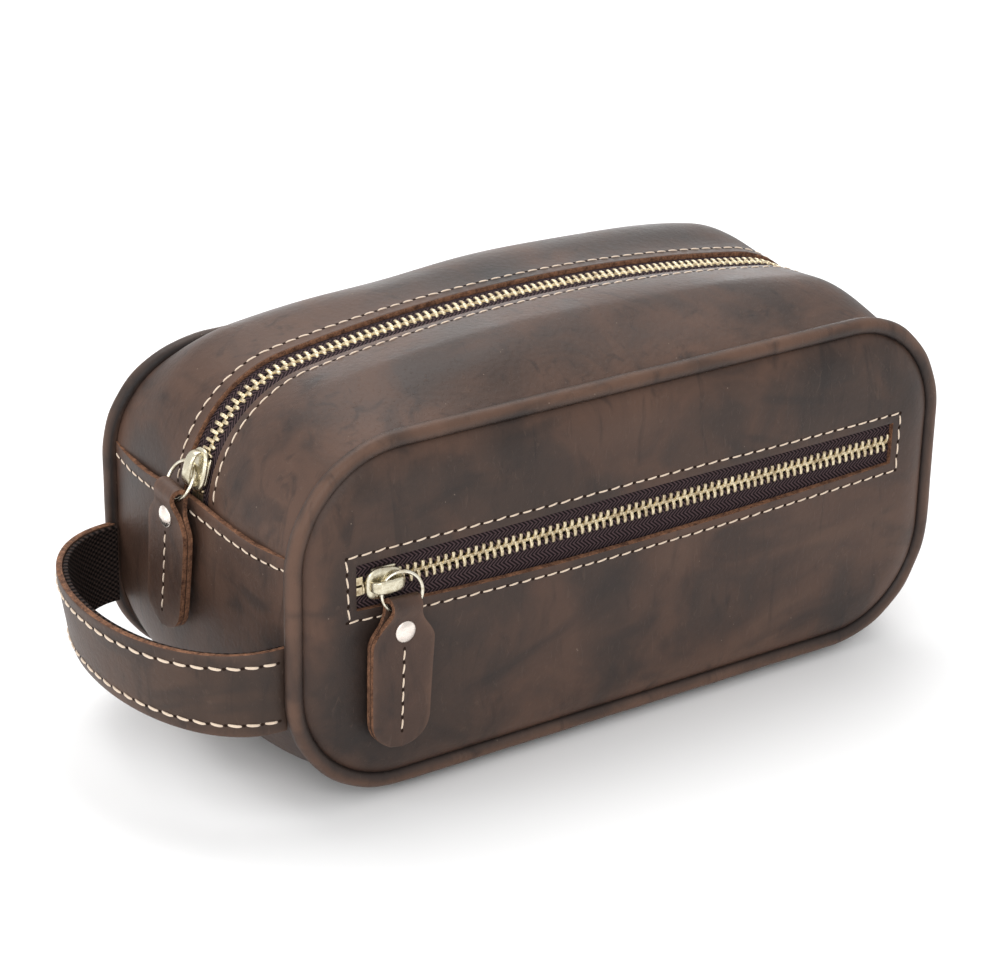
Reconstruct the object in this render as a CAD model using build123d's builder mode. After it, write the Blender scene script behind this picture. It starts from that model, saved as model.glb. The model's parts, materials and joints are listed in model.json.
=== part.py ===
from build123d import *
import os
from math import asin, cos, degrees, radians, sin

# Leather toiletry bag: a boxy zip bag with a piped front and back face, a top zip that
# runs down both ends, a zipped front pocket and a carrying strap on the left end.
# Millimetres. X is along the bag with the strap at -X, Y is its depth with the pocket
# face at -Y, and +Z is up. The origin is the middle of the bag's footprint, on the ground.

# ---------------------------------------------------------------- driving sizes
face_length = 246.0        # front and back face, between the centrelines of the piping
face_height = 111.0
face_corner = 36.5
seam_depth = 111.4         # from the front piping's centreline to the back one's
leather = 1.8
lining = 0.6
piping_diameter = 5.2
piping_cord_diameter = 2.6
cord_play = 0.05
sewn_gap = 0.1             # between pieces that lie against each other

base_drop = 6.0            # how far the base sags below the piping's centreline
end_stand_off = 2.8        # how far the end walls stand out from the piping's centreline
base_corner = 38.0
yoke_height = 24.5         # the base band's sewn top edge, above the face's middle
yoke_overlap = 10.0

zip_corner = 41.5          # radius of the top zip's bend over each end
zip_corner_height = 21.5   # centre of that bend, above the face's middle
crown_rise = 14.0          # highest point of the top, above the piping's centreline
seam_crown = 2.0           # the same, where the top meets the piping
seam_arch_extra = 1.0      # how much wider than the face's corner the top's edge bends
slot_width = 14.0          # open slot between the leather edges over a zip
zip_flat = 32.0            # level strip that is sewn to the tapes

tape = 0.7
tape_width = 13.3
tape_tail = 5.0            # of the pocket tapes, past the window's ends
tooth_pitch = 2.73
tooth_length = 1.3
tooth_height = 2.6
tooth_reach = 2.9          # from the zip's middle to a tooth's outer end
tooth_gap = 0.4            # from the zip's middle to a tooth's inner end
cord_edge = 1.7            # from the zip's middle to the edge of the tape
tooth_play = 0.05          # between a tooth's legs and the tape
stop_gap = 2.0            # from a slider's end to the middle of the stops

slider_length = 12.5
slider_width = 10.2
slider_plate = 1.3
slider_play = 0.45         # above the teeth
slider_play_under = 0.95   # below them, where the track bends away
bridge_height = 2.5        # free height under the slider's bridge
bridge_bar = 1.2
bridge_width = 4.0
bridge_length = 11.2
bridge_haunch = 0.7        # where the bridge's legs bend over into its top
slider_corner = 3.0
rail_length = 7.5
rail_play = 0.2
post_length = 3.1          # the post that parts the teeth
post_width = 0.5
post_middle = 4.1          # past the slider's middle, towards its closed end
yoke_to_slider = 2.4       # from the yoke's edge up to the top slider's lower end

window_margin_left = 19.0  # from a face's end to the pocket zip's window
window_margin_right = 19.5
window_height = 14.5
window_corner = 1.0
window_middle = 13.0       # the pocket zip's line, above the face's middle
dish_rounding = 0.6        # share of a face's bulge that its rounded edge takes
pocket_bulge = 4.3         # how far the faces stand out from the piping's centreline
pocket_slider_inset = 3.35  # from the window's left end to the slider's near end
pouch_depth = 50.0
pouch_inset = 1.0

ring_radius = 6.3
ring_wire = 1.2
wire_play = 0.35           # between a ring's wire and the slider that it crosses
main_crossing_shift = 0.1  # from a slider's middle down to its ring's wire
main_ring_slant = 33.0     # how far the top ring is turned towards the back
pocket_crossing_shift = 1.3
pocket_ring_slant = 30.0   # how far the pocket ring droops from the zip's line
pull_leather = 1.6
pull_width = 21.5
pull_neck = 8.5
pull_shoulder = 9.0        # below the ring's wire, where a pull is at its full width
pull_length = 43.0         # below the ring's wire
pull_tip = 9.0             # length of a pull's rounded end
pull_slot = 4.6            # open width of the fold that the ring passes through
fold_rise = 1.0            # middle of the fold's arc, above the ring's wire
main_pull_lean = 5.0
pocket_pull_lean = 2.4
rivet_drop = 5.5
rivet_head = 7.0
rivet_post = 2.6
rivet_play = 0.05
rivet_dome = 1.0
rivet_rounding = 0.85      # share of the dome that its rounded edge takes
rivet_seat = 0.02
wall_gap = 0.5             # between a pull's fold and the leather that it hangs beside

strap_width = 27.5
strap_leather = 2.0
strap_webbing = 1.5
strap_reach = 37.0         # how far the loop stands out from the end wall
strap_drop = 17.25         # middle of the strap, below the face's middle
strap_root = 16.0          # radius of the sewn root about the bend's axis
strap_gap = 0.4            # between the root and the loop

# ---------------------------------------------------------------- worked out
half_length, half_height = face_length / 2, face_height / 2
seam_y = seam_depth / 2
middle_z = half_height + base_drop
piping_r = piping_diameter / 2
band_y = seam_y - piping_r - sewn_gap          # edge of every band that meets the piping
base_x = half_length + end_stand_off           # outer face of the end walls
top_x = base_x - leather                       # outer face of the top strips, under the yoke
yoke_z = middle_z + yoke_height
face_y = seam_y + pocket_bulge                 # outer face of the front and back panels
zip_z = middle_z + window_middle
window_left = window_margin_left - half_length
window_right = half_length - window_margin_right
window_x = (window_left + window_right) / 2
window_length = window_right - window_left
zip_middle = leather + tape / 2                # depth of the tapes' middle under the leather
zip_centre = (-(top_x - zip_corner), middle_z + zip_corner_height)
strap_z = middle_z - strap_drop


def crown_radius(half_span, rise, corner):
    """Radius of the arc that runs smoothly into both corner arcs."""
    return (half_span**2 + rise**2 - corner**2) / (2 * (rise - corner))


class Arch:
    """The upside-down U that the top follows: up an end, over the crown and down again."""

    def __init__(self, corner, corner_z, apex, foot):
        self.corner, self.corner_z, self.apex, self.foot = corner, corner_z, apex, foot
        self.span = top_x - corner
        self.crown = crown_radius(self.span, apex - corner_z, corner)
        self.turn = degrees(asin(self.span / (self.crown - corner)))

    def line(self, depth, left_to_right=True):
        """Draws the arch at a depth under the outer face, from foot to foot."""
        side = top_x - depth
        r, crown = self.corner - depth, self.crown - depth
        sweep_angle = 90 - self.turn
        centre_z = self.apex - self.crown
        pieces = [
            lambda: Line((-side, self.foot), (-side, self.corner_z)),
            lambda: CenterArc((-self.span, self.corner_z), r, 180, -sweep_angle),
            lambda: CenterArc((0, centre_z), crown, 90 + self.turn, -2 * self.turn),
            lambda: CenterArc((self.span, self.corner_z), r, sweep_angle, -sweep_angle),
            lambda: Line((side, self.corner_z), (side, self.foot)),
        ]
        for draw in pieces if left_to_right else reversed(pieces):
            draw()

    def band(self, plane, outer, inner):
        """A strip of the arch between two depths, as a face on a plane."""
        with BuildSketch(plane) as face:
            with BuildLine():
                self.line(outer)
                Line((top_x - outer, self.foot), (top_x - inner, self.foot))
                self.line(inner, left_to_right=False)
                Line((-top_x + inner, self.foot), (-top_x + outer, self.foot))
            make_face()
        return face.sketch

    def place(self, distance, depth):
        """A plane on the arch: x across the bag, z along the zip, y outwards.

        The distance runs along the arch at that depth from the left bend's start."""
        r, crown = self.corner - depth, self.crown - depth
        bend = radians(90 - self.turn) * r
        top = 2 * radians(self.turn) * crown
        if distance < bend:
            angle, centre, radius = 180 - degrees(distance / r), (-self.span, self.corner_z), r
        elif distance < bend + top:
            angle = 90 + self.turn - degrees((distance - bend) / crown)
            centre, radius = (0, self.apex - self.crown), crown
        else:
            angle = 90 - self.turn - degrees((distance - bend - top) / r)
            centre, radius = (self.span, self.corner_z), r
        out = Vector(cos(radians(angle)), 0, sin(radians(angle)))
        origin = Vector(centre[0], 0, centre[1]) + out * radius
        along = Vector(out.Z, 0, -out.X)
        return Plane(origin=origin, x_dir=along.cross(out) * -1, z_dir=along)

    def length(self, depth):
        """From one bend's start to the other's, at a depth."""
        bend = radians(90 - self.turn) * (self.corner - depth)
        return 2 * bend + 2 * radians(self.turn) * (self.crown - depth)


foot_z = yoke_z - yoke_overlap
zip_arch = Arch(zip_corner, zip_centre[1], middle_z + half_height + crown_rise, foot_z)
seam_arch = Arch(
    face_corner + seam_arch_extra,
    middle_z + half_height - face_corner,
    middle_z + half_height + seam_crown,
    foot_z,
)


def level(y):
    """The upright plane at a depth y, with X to the right and Z up."""
    return Plane.XZ.offset(-y)


# ---------------------------------------------------------------- front and back faces
def dish(side, inset, rim, top):
    """A rounded outline pushed out from a rim to a softly edged flat top, as a solid."""
    outline = 2 * (piping_r + sewn_gap + inset)
    with BuildPart() as body:
        with BuildSketch(level(side * rim)):
            with Locations((0, middle_z)):
                RectangleRounded(
                    face_length - outline, face_height - outline, face_corner - outline / 2
                )
        extrude(amount=top - rim, dir=(0, side, 0))
        flat_top = body.faces().sort_by(Axis.Y)[-1 if side > 0 else 0]
        fillet(flat_top.edges(), (top - rim) * dish_rounding)
    return body.part


def face_panel(side, window):
    """One face: a shallow leather dish with its edge turned in at the piping."""
    outside = dish(side, 0, seam_y - leather, face_y)
    hollow = dish(side, leather, seam_y - 2 * leather, face_y - leather)
    with BuildPart() as panel:
        add(outside)
        add(hollow, mode=Mode.SUBTRACT)
        if window:
            with BuildSketch(level(side * (face_y + leather))):
                with Locations((window_x, zip_z)):
                    RectangleRounded(window_length, window_height, window_corner)
            extrude(amount=3 * leather, dir=(0, -side, 0), mode=Mode.SUBTRACT)
    return panel.part


def ring_sweep(side, outer, inner):
    """A tube, or a cord where inner is 0, all round a face's seam."""
    with BuildPart() as tube:
        with BuildLine(level(side * seam_y)) as seam:
            FilletPolyline(
                (half_length, middle_z - half_height),
                (half_length, middle_z + half_height),
                (-half_length, middle_z + half_height),
                (-half_length, middle_z - half_height),
                radius=face_corner,
                close=True,
            )
        with BuildSketch(Plane(origin=seam.line @ 0, z_dir=seam.line % 0)):
            Circle(outer)
            if inner:
                Circle(inner, mode=Mode.SUBTRACT)
        sweep()
    return tube.part


def face_lining(side):
    """The sheet of lining behind a face."""
    with BuildPart() as sheet:
        with BuildSketch(level(side * (band_y - sewn_gap))):
            with Locations((0, middle_z)):
                inset = 2 * (piping_r + leather)
                RectangleRounded(
                    face_length - inset, face_height - inset, face_corner - inset / 2
                )
        extrude(amount=lining, dir=(0, -side, 0))
    return sheet.part


# ---------------------------------------------------------------- the bands between the faces
def top_strip(side):
    """One of the two top pieces: level beside the zip, then sloping down to the piping."""
    sections = [
        zip_arch.band(level(side * slot_width / 2), 0, leather),
        zip_arch.band(level(side * zip_flat / 2), 0, leather),
        seam_arch.band(level(side * band_y), 0, leather),
    ]
    with BuildPart() as strip:
        loft(sections, ruled=True)
    return strip.part


def top_lining(side):
    """The lining under a top strip, from the tape's sewn edge to the piping."""
    outer = leather + tape + sewn_gap
    sections = [
        zip_arch.band(level(side * zip_flat / 2), outer, outer + lining),
        seam_arch.band(level(side * (band_y - lining - 2 * sewn_gap)), outer, outer + lining),
    ]
    with BuildPart() as sheet:
        loft(sections, ruled=True)
    return sheet.part


def u_band(outer_x, bottom_z, corner, thickness, top_z, half_width):
    """A band that hangs like a U from one end wall, under the bag and up the other."""
    height = 2 * (middle_z - bottom_z)
    with BuildPart() as band:
        with BuildSketch(level(-half_width)):
            with Locations((0, middle_z)):
                RectangleRounded(2 * outer_x, height, corner)
                RectangleRounded(
                    2 * (outer_x - thickness),
                    height - 2 * thickness,
                    corner - thickness,
                    mode=Mode.SUBTRACT,
                )
            with Locations((0, top_z + height)):
                Rectangle(3 * outer_x, 2 * height, mode=Mode.SUBTRACT)
        extrude(amount=2 * half_width, dir=(0, 1, 0))
    return band.part


def base_band():
    """The leather base and end walls in one piece, notched where the strap is sewn in."""
    stack = strap_leather + strap_webbing
    whole = u_band(base_x, 0, base_corner, leather, yoke_z, band_y)
    with BuildPart() as band:
        add(whole)
        with Locations(*[(-base_x, s * (band_y - stack / 2), strap_z) for s in (-1, 1)]):
            Box(4 * leather, stack, strap_width, mode=Mode.SUBTRACT)
    return band.part


# ---------------------------------------------------------------- zips
def tooth_profile(side):
    """A tooth's outline, seen along the zip: a solid head and two legs round the tape."""
    half = tooth_height / 2
    crimp = tape / 2 + tooth_play
    with BuildSketch() as outline:
        with BuildLine():
            Polyline(
                (side * tooth_gap, -half),
                (side * tooth_reach, -half),
                (side * tooth_reach, -crimp),
                (side * (cord_edge - tooth_play), -crimp),
                (side * (cord_edge - tooth_play), crimp),
                (side * tooth_reach, crimp),
                (side * tooth_reach, half),
                (side * tooth_gap, half),
                close=True,
            )
        make_face()
    return outline.sketch


def tooth_row(places, side):
    """Separate teeth along one tape, one at each plane."""
    outline = tooth_profile(side)
    with BuildPart() as tooth:
        extrude(outline, amount=tooth_length / 2, both=True)
    return Compound([tooth.part.solid().moved(Location(p)) for p in places])


def stop_pair(plane):
    """Two clips that end the teeth, one crimped on each tape."""
    outlines = [tooth_profile(side) for side in (-1, 1)]
    with BuildPart() as clip:
        for outline in outlines:
            extrude(outline, amount=tooth_length, both=True)
    return Compound([s.moved(Location(plane)) for s in clip.part.solids()])


def main_tape(side):
    """One curved tape of the top zip, sewn under a top strip."""
    zip_face = zip_arch.band(level(side * cord_edge), leather, leather + tape)
    with BuildPart() as strip:
        extrude(zip_face, amount=tape_width, dir=(0, side, 0))
    return strip.part


main_track = zip_corner - zip_middle
slider_low = asin((yoke_z + yoke_to_slider - zip_centre[1]) / main_track)
main_slider_at = slider_low * main_track + slider_length / 2
main_first = main_slider_at - slider_length / 2
main_last = zip_arch.length(zip_middle) - 2 * tooth_pitch


def row_starts(first, last, side):
    """Distances of one row's teeth along a zip: the two rows are half a pitch apart."""
    start = first + (tooth_pitch / 2 if side > 0 else 0)
    return [start + i * tooth_pitch for i in range(int((last - start) / tooth_pitch) + 1)]


def main_row(side):
    """The top zip's teeth on one tape."""
    starts = row_starts(main_first, main_last, side)
    return tooth_row([zip_arch.place(d, zip_middle) for d in starts], side)


pocket_y = -(face_y - zip_middle)
pocket_first = window_left + pocket_slider_inset
pocket_slider_x = pocket_first + slider_length / 2
pocket_last = window_right - tooth_length


def pocket_place(x):
    """A plane on the pocket zip's line: x up the face, z along the zip, y outwards."""
    return Plane(origin=(x, pocket_y, zip_z), x_dir=(0, 0, 1), z_dir=(1, 0, 0))


def pocket_tape(side):
    """One straight tape of the pocket zip, sewn behind the window."""
    middle = zip_z + side * (cord_edge + tape_width / 2)
    with BuildPart() as strip:
        with Locations((window_x, pocket_y, middle)):
            Box(window_length + 2 * tape_tail, tape, tape_width)
    return strip.part


def pocket_row(side):
    """The pocket zip's teeth on one tape."""
    return tooth_row([pocket_place(x) for x in row_starts(pocket_first, pocket_last, side)], side)


def slider(plane):
    """A zip slider. The plane lies on the tapes' middle with x across the zip, z along it
    towards the closed teeth, and y outwards."""
    roof = tooth_height / 2 + slider_play
    floor = tooth_height / 2 + slider_play_under
    across = Plane(origin=plane.origin, x_dir=plane.x_dir, z_dir=plane.z_dir)
    flat = Plane(origin=plane.origin, x_dir=plane.x_dir, z_dir=plane.y_dir)
    rail = slider_width / 2 - tooth_reach - slider_play - rail_play
    lip = tape / 2 + slider_play_under / 2
    foot = roof + slider_plate / 2
    crest = roof + slider_plate + bridge_height
    with BuildPart() as body:
        for low, high in ((roof, roof + slider_plate), (-floor - slider_plate, -floor)):
            with BuildSketch(flat.offset(low)):
                RectangleRounded(slider_width, slider_length, slider_corner)
            extrude(amount=high - low)
        with BuildSketch(across.offset(-rail_length / 2)):
            for s in (-1, 1):
                x = s * (slider_width / 2 - rail / 2)
                with Locations((x, (roof + lip) / 2)):
                    Rectangle(rail, roof - lip)
                with Locations((x, -(floor + lip) / 2)):
                    Rectangle(rail, floor - lip)
        extrude(amount=rail_length)
        with BuildSketch(flat.offset(-floor)):
            with Locations((0, post_middle)):
                Rectangle(post_width, post_length)
        extrude(amount=floor + roof)
        side_view = Plane(origin=plane.origin, x_dir=plane.z_dir, z_dir=-plane.x_dir)
        with BuildSketch(side_view):
            half, inner = bridge_length / 2, bridge_length / 2 - bridge_bar
            with BuildLine():
                Polyline(
                    (-half, foot),
                    (-half, crest - bridge_haunch),
                    (-half + bridge_bar + bridge_haunch, crest + bridge_bar),
                    (half - bridge_bar - bridge_haunch, crest + bridge_bar),
                    (half, crest - bridge_haunch),
                    (half, foot),
                    (inner, foot),
                    (inner, crest - bridge_haunch),
                    (inner - bridge_haunch, crest),
                    (-inner + bridge_haunch, crest),
                    (-inner, crest - bridge_haunch),
                    (-inner, foot),
                    close=True,
                )
            make_face()
        extrude(amount=bridge_width / 2, both=True)
    return body.part


# ---------------------------------------------------------------- rings and pulls
ply = pull_leather + sewn_gap / 2              # half a pull's thickness where it is sewn
wire_height = tooth_height / 2 + slider_play + slider_plate + wire_play + ring_wire / 2
fold_outer = pull_slot / 2 + pull_leather


def ring(crossing, towards, wire_dir):
    """A plain wire ring that passes under a slider's bridge at a point."""
    centre = crossing + towards * ring_radius
    with BuildPart() as loop:
        with BuildSketch(Plane(origin=crossing, x_dir=towards, z_dir=wire_dir)):
            Circle(ring_wire / 2)
        revolve(axis=Axis(centre, towards.cross(wire_dir)))
    return loop.part


def pull_tab(plane):
    """A strip of leather folded over the ring. The plane's origin is the wire's middle,
    x is across the tab, y its thickness and z up."""
    waist = rivet_head / 2 - rivet_drop
    side_view = Plane(origin=plane.origin, x_dir=plane.y_dir, z_dir=plane.x_dir)
    front_view = Plane(origin=plane.origin, x_dir=plane.x_dir, z_dir=-plane.y_dir)
    half, neck = pull_width / 2, pull_neck / 2
    over, tip = fold_rise + 2 * fold_outer, pull_tip - pull_length
    with BuildPart() as tab:
        with BuildSketch(side_view):
            for r, flat, end, mode in (
                (fold_outer, ply, -pull_length, Mode.ADD),
                (pull_slot / 2, sewn_gap / 2, -pull_length - sewn_gap, Mode.SUBTRACT),
            ):
                with BuildLine():
                    CenterArc((0, fold_rise), r, 0, 180)
                    Polyline((-r, fold_rise), (-flat, waist), (-flat, end))
                    Polyline((-flat, end), (flat, end), (flat, waist), (r, fold_rise))
                make_face(mode=mode)
        extrude(amount=half, both=True)
        with BuildSketch(front_view.offset(-2 * fold_outer)):
            with BuildLine():
                Polyline((-neck, over), (-neck, 0), (-half, -pull_shoulder), (-half, tip))
                EllipticalCenterArc((0, tip), half, pull_tip, start_angle=180, arc_size=180)
                Polyline((half, tip), (half, -pull_shoulder), (neck, 0), (neck, over))
                Line((neck, over), (-neck, over))
            make_face()
        extrude(amount=4 * fold_outer, mode=Mode.INTERSECT)
        with BuildSketch(front_view.offset(-2 * fold_outer)):
            with Locations((0, -rivet_drop)):
                Circle(rivet_post / 2 + rivet_play)
        extrude(amount=4 * fold_outer, mode=Mode.SUBTRACT)
    return tab.part


def rivet(plane, cap):
    """Half of a two-part tubular rivet: the post with its head, or the cap pressed on it."""
    out = -plane.y_dir if cap else plane.y_dir
    at = plane.origin - plane.z_dir * rivet_drop
    seat = ply + rivet_seat
    with BuildPart() as piece:
        with BuildSketch(Plane(origin=at + out * seat, z_dir=out)):
            Circle(rivet_head / 2)
        extrude(amount=rivet_dome)
        fillet(piece.faces().sort_by(Axis(at, out))[-1].edges(), rivet_dome * rivet_rounding)
        if not cap:
            with BuildSketch(Plane(origin=at + out * seat, z_dir=-out)):
                Circle(rivet_post / 2)
            extrude(amount=2 * seat)
    return piece.part


# ---------------------------------------------------------------- strap
def strap_layer(outer, thickness):
    """A layer of the strap from seam to seam, between two half ellipses."""
    with BuildPart() as layer:
        with BuildSketch(Plane.XY.offset(strap_z - strap_width / 2)):
            with Locations((-base_x, 0)):
                Ellipse(strap_reach - outer, band_y - outer)
                Ellipse(
                    strap_reach - outer - thickness,
                    band_y - outer - thickness,
                    mode=Mode.SUBTRACT,
                )
            with Locations((-base_x + strap_reach, 0)):
                Rectangle(2 * strap_reach, 3 * band_y, mode=Mode.SUBTRACT)
        extrude(amount=strap_width)
    return layer.part


def strap_part(outer, thickness, root):
    """The sewn roots of a layer, or the loop between them that bends up and down."""
    layer = strap_layer(outer, thickness)
    sewn = [(-base_x + leather / 2, s * (band_y - outer - thickness / 2), strap_z) for s in (-1, 1)]
    with BuildPart() as piece:
        add(layer)
        with BuildSketch(level(-2 * band_y)):
            with Locations((-base_x, strap_z)):
                Circle(strap_root if root else strap_root + strap_gap)
        extrude(
            amount=4 * band_y,
            dir=(0, 1, 0),
            mode=Mode.INTERSECT if root else Mode.SUBTRACT,
        )
        if root:
            with Locations(*sewn):
                Box(leather, thickness, strap_width)
    return piece.part


# ---------------------------------------------------------------- the pocket's pouch
def pocket_pouch():
    """A flat cloth pouch sewn to both tapes' edges: a back ply, a front ply below the
    zip, and the folds that join them at the top and bottom."""
    back_y = -(band_y + lining)
    front_y = pocket_y + tape / 2 - lining / 2
    top = zip_z + cord_edge + tape_width + lining / 2 + sewn_gap
    lip = zip_z - cord_edge - tape_width - lining / 2 - sewn_gap
    low = zip_z - pouch_depth
    width = window_length - 2 * pouch_inset
    depth = back_y - front_y + lining
    with BuildPart() as pouch:
        with Locations((window_x, back_y, (top + low) / 2)):
            Box(width, lining, top - low + lining)
        with Locations((window_x, front_y, (lip + low) / 2)):
            Box(width, lining, lip - low + lining)
        with Locations(*[(window_x, (back_y + front_y) / 2, z) for z in (low, top)]):
            Box(width, depth, lining)
    return pouch.part


# ---------------------------------------------------------------- build and write
pieces = {}


def keep(name, shape):
    """Labels a finished piece and remembers it for writing."""
    shape.label = name
    pieces[name] = shape


for word, side in (("front", -1), ("back", 1)):
    keep(f"{word}_panel", face_panel(side, window=side < 0))
    keep(f"{word}_piping", ring_sweep(side, piping_r, piping_cord_diameter / 2 + cord_play))
    keep(f"{word}_piping_cord", ring_sweep(side, piping_cord_diameter / 2, 0))
    keep(f"{word}_lining", face_lining(side))
    keep(f"top_strip_{word}", top_strip(side))
    keep(f"top_lining_{word}", top_lining(side))
    keep(f"main_zip_tape_{word}", main_tape(side))
    keep(f"main_zip_teeth_{word}", main_row(side))

keep("base_band", base_band())
under_yoke = 2 * leather + tape + 2 * sewn_gap
keep(
    "base_lining",
    u_band(
        base_x - under_yoke,
        leather + sewn_gap,
        base_corner - leather,
        lining,
        foot_z - sewn_gap,
        band_y - lining - 2 * sewn_gap,
    ),
)

for word, side in (("upper", 1), ("lower", -1)):
    keep(f"pocket_zip_tape_{word}", pocket_tape(side))
    keep(f"pocket_zip_teeth_{word}", pocket_row(side))
keep("pocket_pouch", pocket_pouch())

for word, side in (("leather", 0), ("webbing", strap_leather)):
    thick = strap_webbing if side else strap_leather
    keep(f"strap_root_{word}", strap_part(side, thick, root=True))
    keep(f"strap_loop_{word}", strap_part(side, thick, root=False))

slider_places = {
    "main": zip_arch.place(main_slider_at, zip_middle),
    "pocket": pocket_place(pocket_slider_x),
}
stop_places = {
    "main": zip_arch.place(main_first - stop_gap, zip_middle),
    "pocket": pocket_place(pocket_first - stop_gap),
}
for word, plane in slider_places.items():
    keep(f"{word}_slider", slider(plane))
    keep(f"{word}_zip_stops", stop_pair(stop_places[word]))

# The top ring hangs a little off the end wall and is turned towards the back, so its
# pull hangs clear of the leather, behind the zip's line.
up, to_back, to_right = Vector(0, 0, 1), Vector(0, 1, 0), Vector(1, 0, 0)
main_crossing = slider_places["main"].origin + slider_places["main"].y_dir * wire_height
main_crossing -= slider_places["main"].z_dir * main_crossing_shift
turned = radians(main_ring_slant)
main_reach = base_x + wall_gap + fold_outer + main_crossing.X
lean = asin(main_reach / (ring_radius * (1 + cos(turned))))
downhill = Vector(-sin(lean), 0, -cos(lean))
main_wire = to_back * cos(turned) - downhill * sin(turned)
main_towards = downhill * cos(turned) + to_back * sin(turned)
keep("main_pull_ring", ring(main_crossing, main_towards, main_wire))
main_hang = main_crossing + (main_towards + downhill) * ring_radius

# The pocket's ring droops from the zip's line, with its wire level with the slider's
# plate, and stands out just far enough for its pull to hang clear of the face.
pocket_crossing = slider_places["pocket"].origin - to_right * pocket_crossing_shift
pocket_crossing -= to_back * wire_height
slant = radians(pocket_ring_slant)
pocket_reach = face_y + wall_gap + fold_outer + pocket_crossing.Y
tilt = asin(pocket_reach / (ring_radius * (1 + sin(slant))))
pocket_wire = to_right * sin(slant) + up * cos(slant)
drooping = to_right * cos(slant) - up * sin(slant)
pocket_towards = drooping * cos(tilt) - to_back * sin(tilt)
keep("pocket_pull_ring", ring(pocket_crossing, pocket_towards, pocket_wire))
lowest = pocket_towards * (sin(slant) * cos(tilt)) - pocket_wire * cos(slant)
pocket_hang = pocket_crossing + (pocket_towards + lowest.normalized()) * ring_radius


def hanging_plane(hang, across, lean):
    """Where a pull hangs: its across direction, turned so that its tip leans aside."""
    turn = radians(lean)
    return Plane(
        origin=hang,
        x_dir=across * cos(turn) + up * sin(turn),
        z_dir=up * cos(turn) - across * sin(turn),
    )


pull_planes = {
    "main": hanging_plane(main_hang, to_back, main_pull_lean),
    "pocket": hanging_plane(pocket_hang, to_right, -pocket_pull_lean),
}

for word, plane in pull_planes.items():
    keep(f"{word}_pull_tab", pull_tab(plane))
    keep(f"{word}_pull_rivet", rivet(plane, cap=False))
    keep(f"{word}_pull_rivet_cap", rivet(plane, cap=True))

os.makedirs("parts", exist_ok=True)
for name, shape in pieces.items():
    export_step(shape, f"parts/{name}.step")
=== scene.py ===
import json

import bpy
import numpy as np
from mathutils import Matrix, Vector


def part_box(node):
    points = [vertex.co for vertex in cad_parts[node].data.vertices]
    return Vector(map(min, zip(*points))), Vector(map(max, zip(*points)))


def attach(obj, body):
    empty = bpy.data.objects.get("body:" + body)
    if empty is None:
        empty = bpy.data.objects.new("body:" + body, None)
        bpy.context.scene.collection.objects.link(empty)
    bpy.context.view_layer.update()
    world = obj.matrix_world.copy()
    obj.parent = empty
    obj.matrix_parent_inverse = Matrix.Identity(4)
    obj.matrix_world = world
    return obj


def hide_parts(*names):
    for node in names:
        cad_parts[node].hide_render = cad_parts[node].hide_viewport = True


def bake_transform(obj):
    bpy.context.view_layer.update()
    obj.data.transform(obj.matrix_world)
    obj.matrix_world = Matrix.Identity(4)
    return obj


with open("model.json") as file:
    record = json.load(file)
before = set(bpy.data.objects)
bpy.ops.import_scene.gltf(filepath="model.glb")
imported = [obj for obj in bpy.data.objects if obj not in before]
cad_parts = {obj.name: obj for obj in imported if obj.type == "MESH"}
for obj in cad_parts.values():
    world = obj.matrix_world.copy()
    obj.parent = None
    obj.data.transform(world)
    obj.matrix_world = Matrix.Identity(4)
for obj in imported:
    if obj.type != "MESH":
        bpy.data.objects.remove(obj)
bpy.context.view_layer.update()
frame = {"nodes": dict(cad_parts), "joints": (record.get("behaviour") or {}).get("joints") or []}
mm = 0.001
scene = bpy.context.scene

# ------------------------------------------------------------------ camera, light and floor
# The bag stands on a pale studio table and is seen from a little above, strap end first,
# through a long lens. Soft boxes stand over it, and a white room lights it from all round.
view_azimuth, view_elevation, view_roll = np.radians([-35.14, 23.45, 1.13])
view_distance = 953.4 * mm
view_target = np.array([-12.4, 0.0, 63.6]) * mm

sight = np.array(
    [
        np.sin(view_azimuth) * np.cos(view_elevation),
        -np.cos(view_azimuth) * np.cos(view_elevation),
        np.sin(view_elevation),
    ]
)
level_right = np.array([np.cos(view_azimuth), np.sin(view_azimuth), 0.0])
level_up = np.cross(sight, level_right)
right = level_right * np.cos(view_roll) + level_up * np.sin(view_roll)
up = level_up * np.cos(view_roll) - level_right * np.sin(view_roll)
camera = bpy.data.objects.new("camera", bpy.data.cameras.new("camera"))
camera.data.lens = 106.3
camera.data.sensor_width = 36.0
camera.data.clip_start = 0.05
stand = view_target + sight * view_distance
camera.matrix_world = Matrix.Translation(stand) @ Matrix(np.stack([right, up, sight], 1)).to_4x4()
scene.collection.objects.link(camera)
scene.camera = camera


def soft_box(name, place, size, watts):
    """An oblong white lamp that stands at a place and faces the bag's middle."""
    lamp = bpy.data.lights.new(name, "AREA")
    lamp.shape = "RECTANGLE"
    lamp.size, lamp.size_y = size
    lamp.energy = watts
    holder = bpy.data.objects.new(name, lamp)
    holder.location = place
    aim = bag_middle - Vector(place)
    holder.rotation_euler = aim.to_track_quat("-Z", "Y").to_euler()
    scene.collection.objects.link(holder)


bag_middle = Vector((0, 0, 0.06))
soft_box("box_over", (0.15, 0.45, 1.25), (1.3, 0.9), 11)
soft_box("box_front", (-0.75, -1.25, 0.85), (0.9, 0.9), 9)
soft_box("box_left", (-1.4, 0.2, 0.7), (0.8, 0.8), 5)
soft_box("box_behind", (0.85, 1.35, 0.34), (0.9, 0.5), 5)

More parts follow.
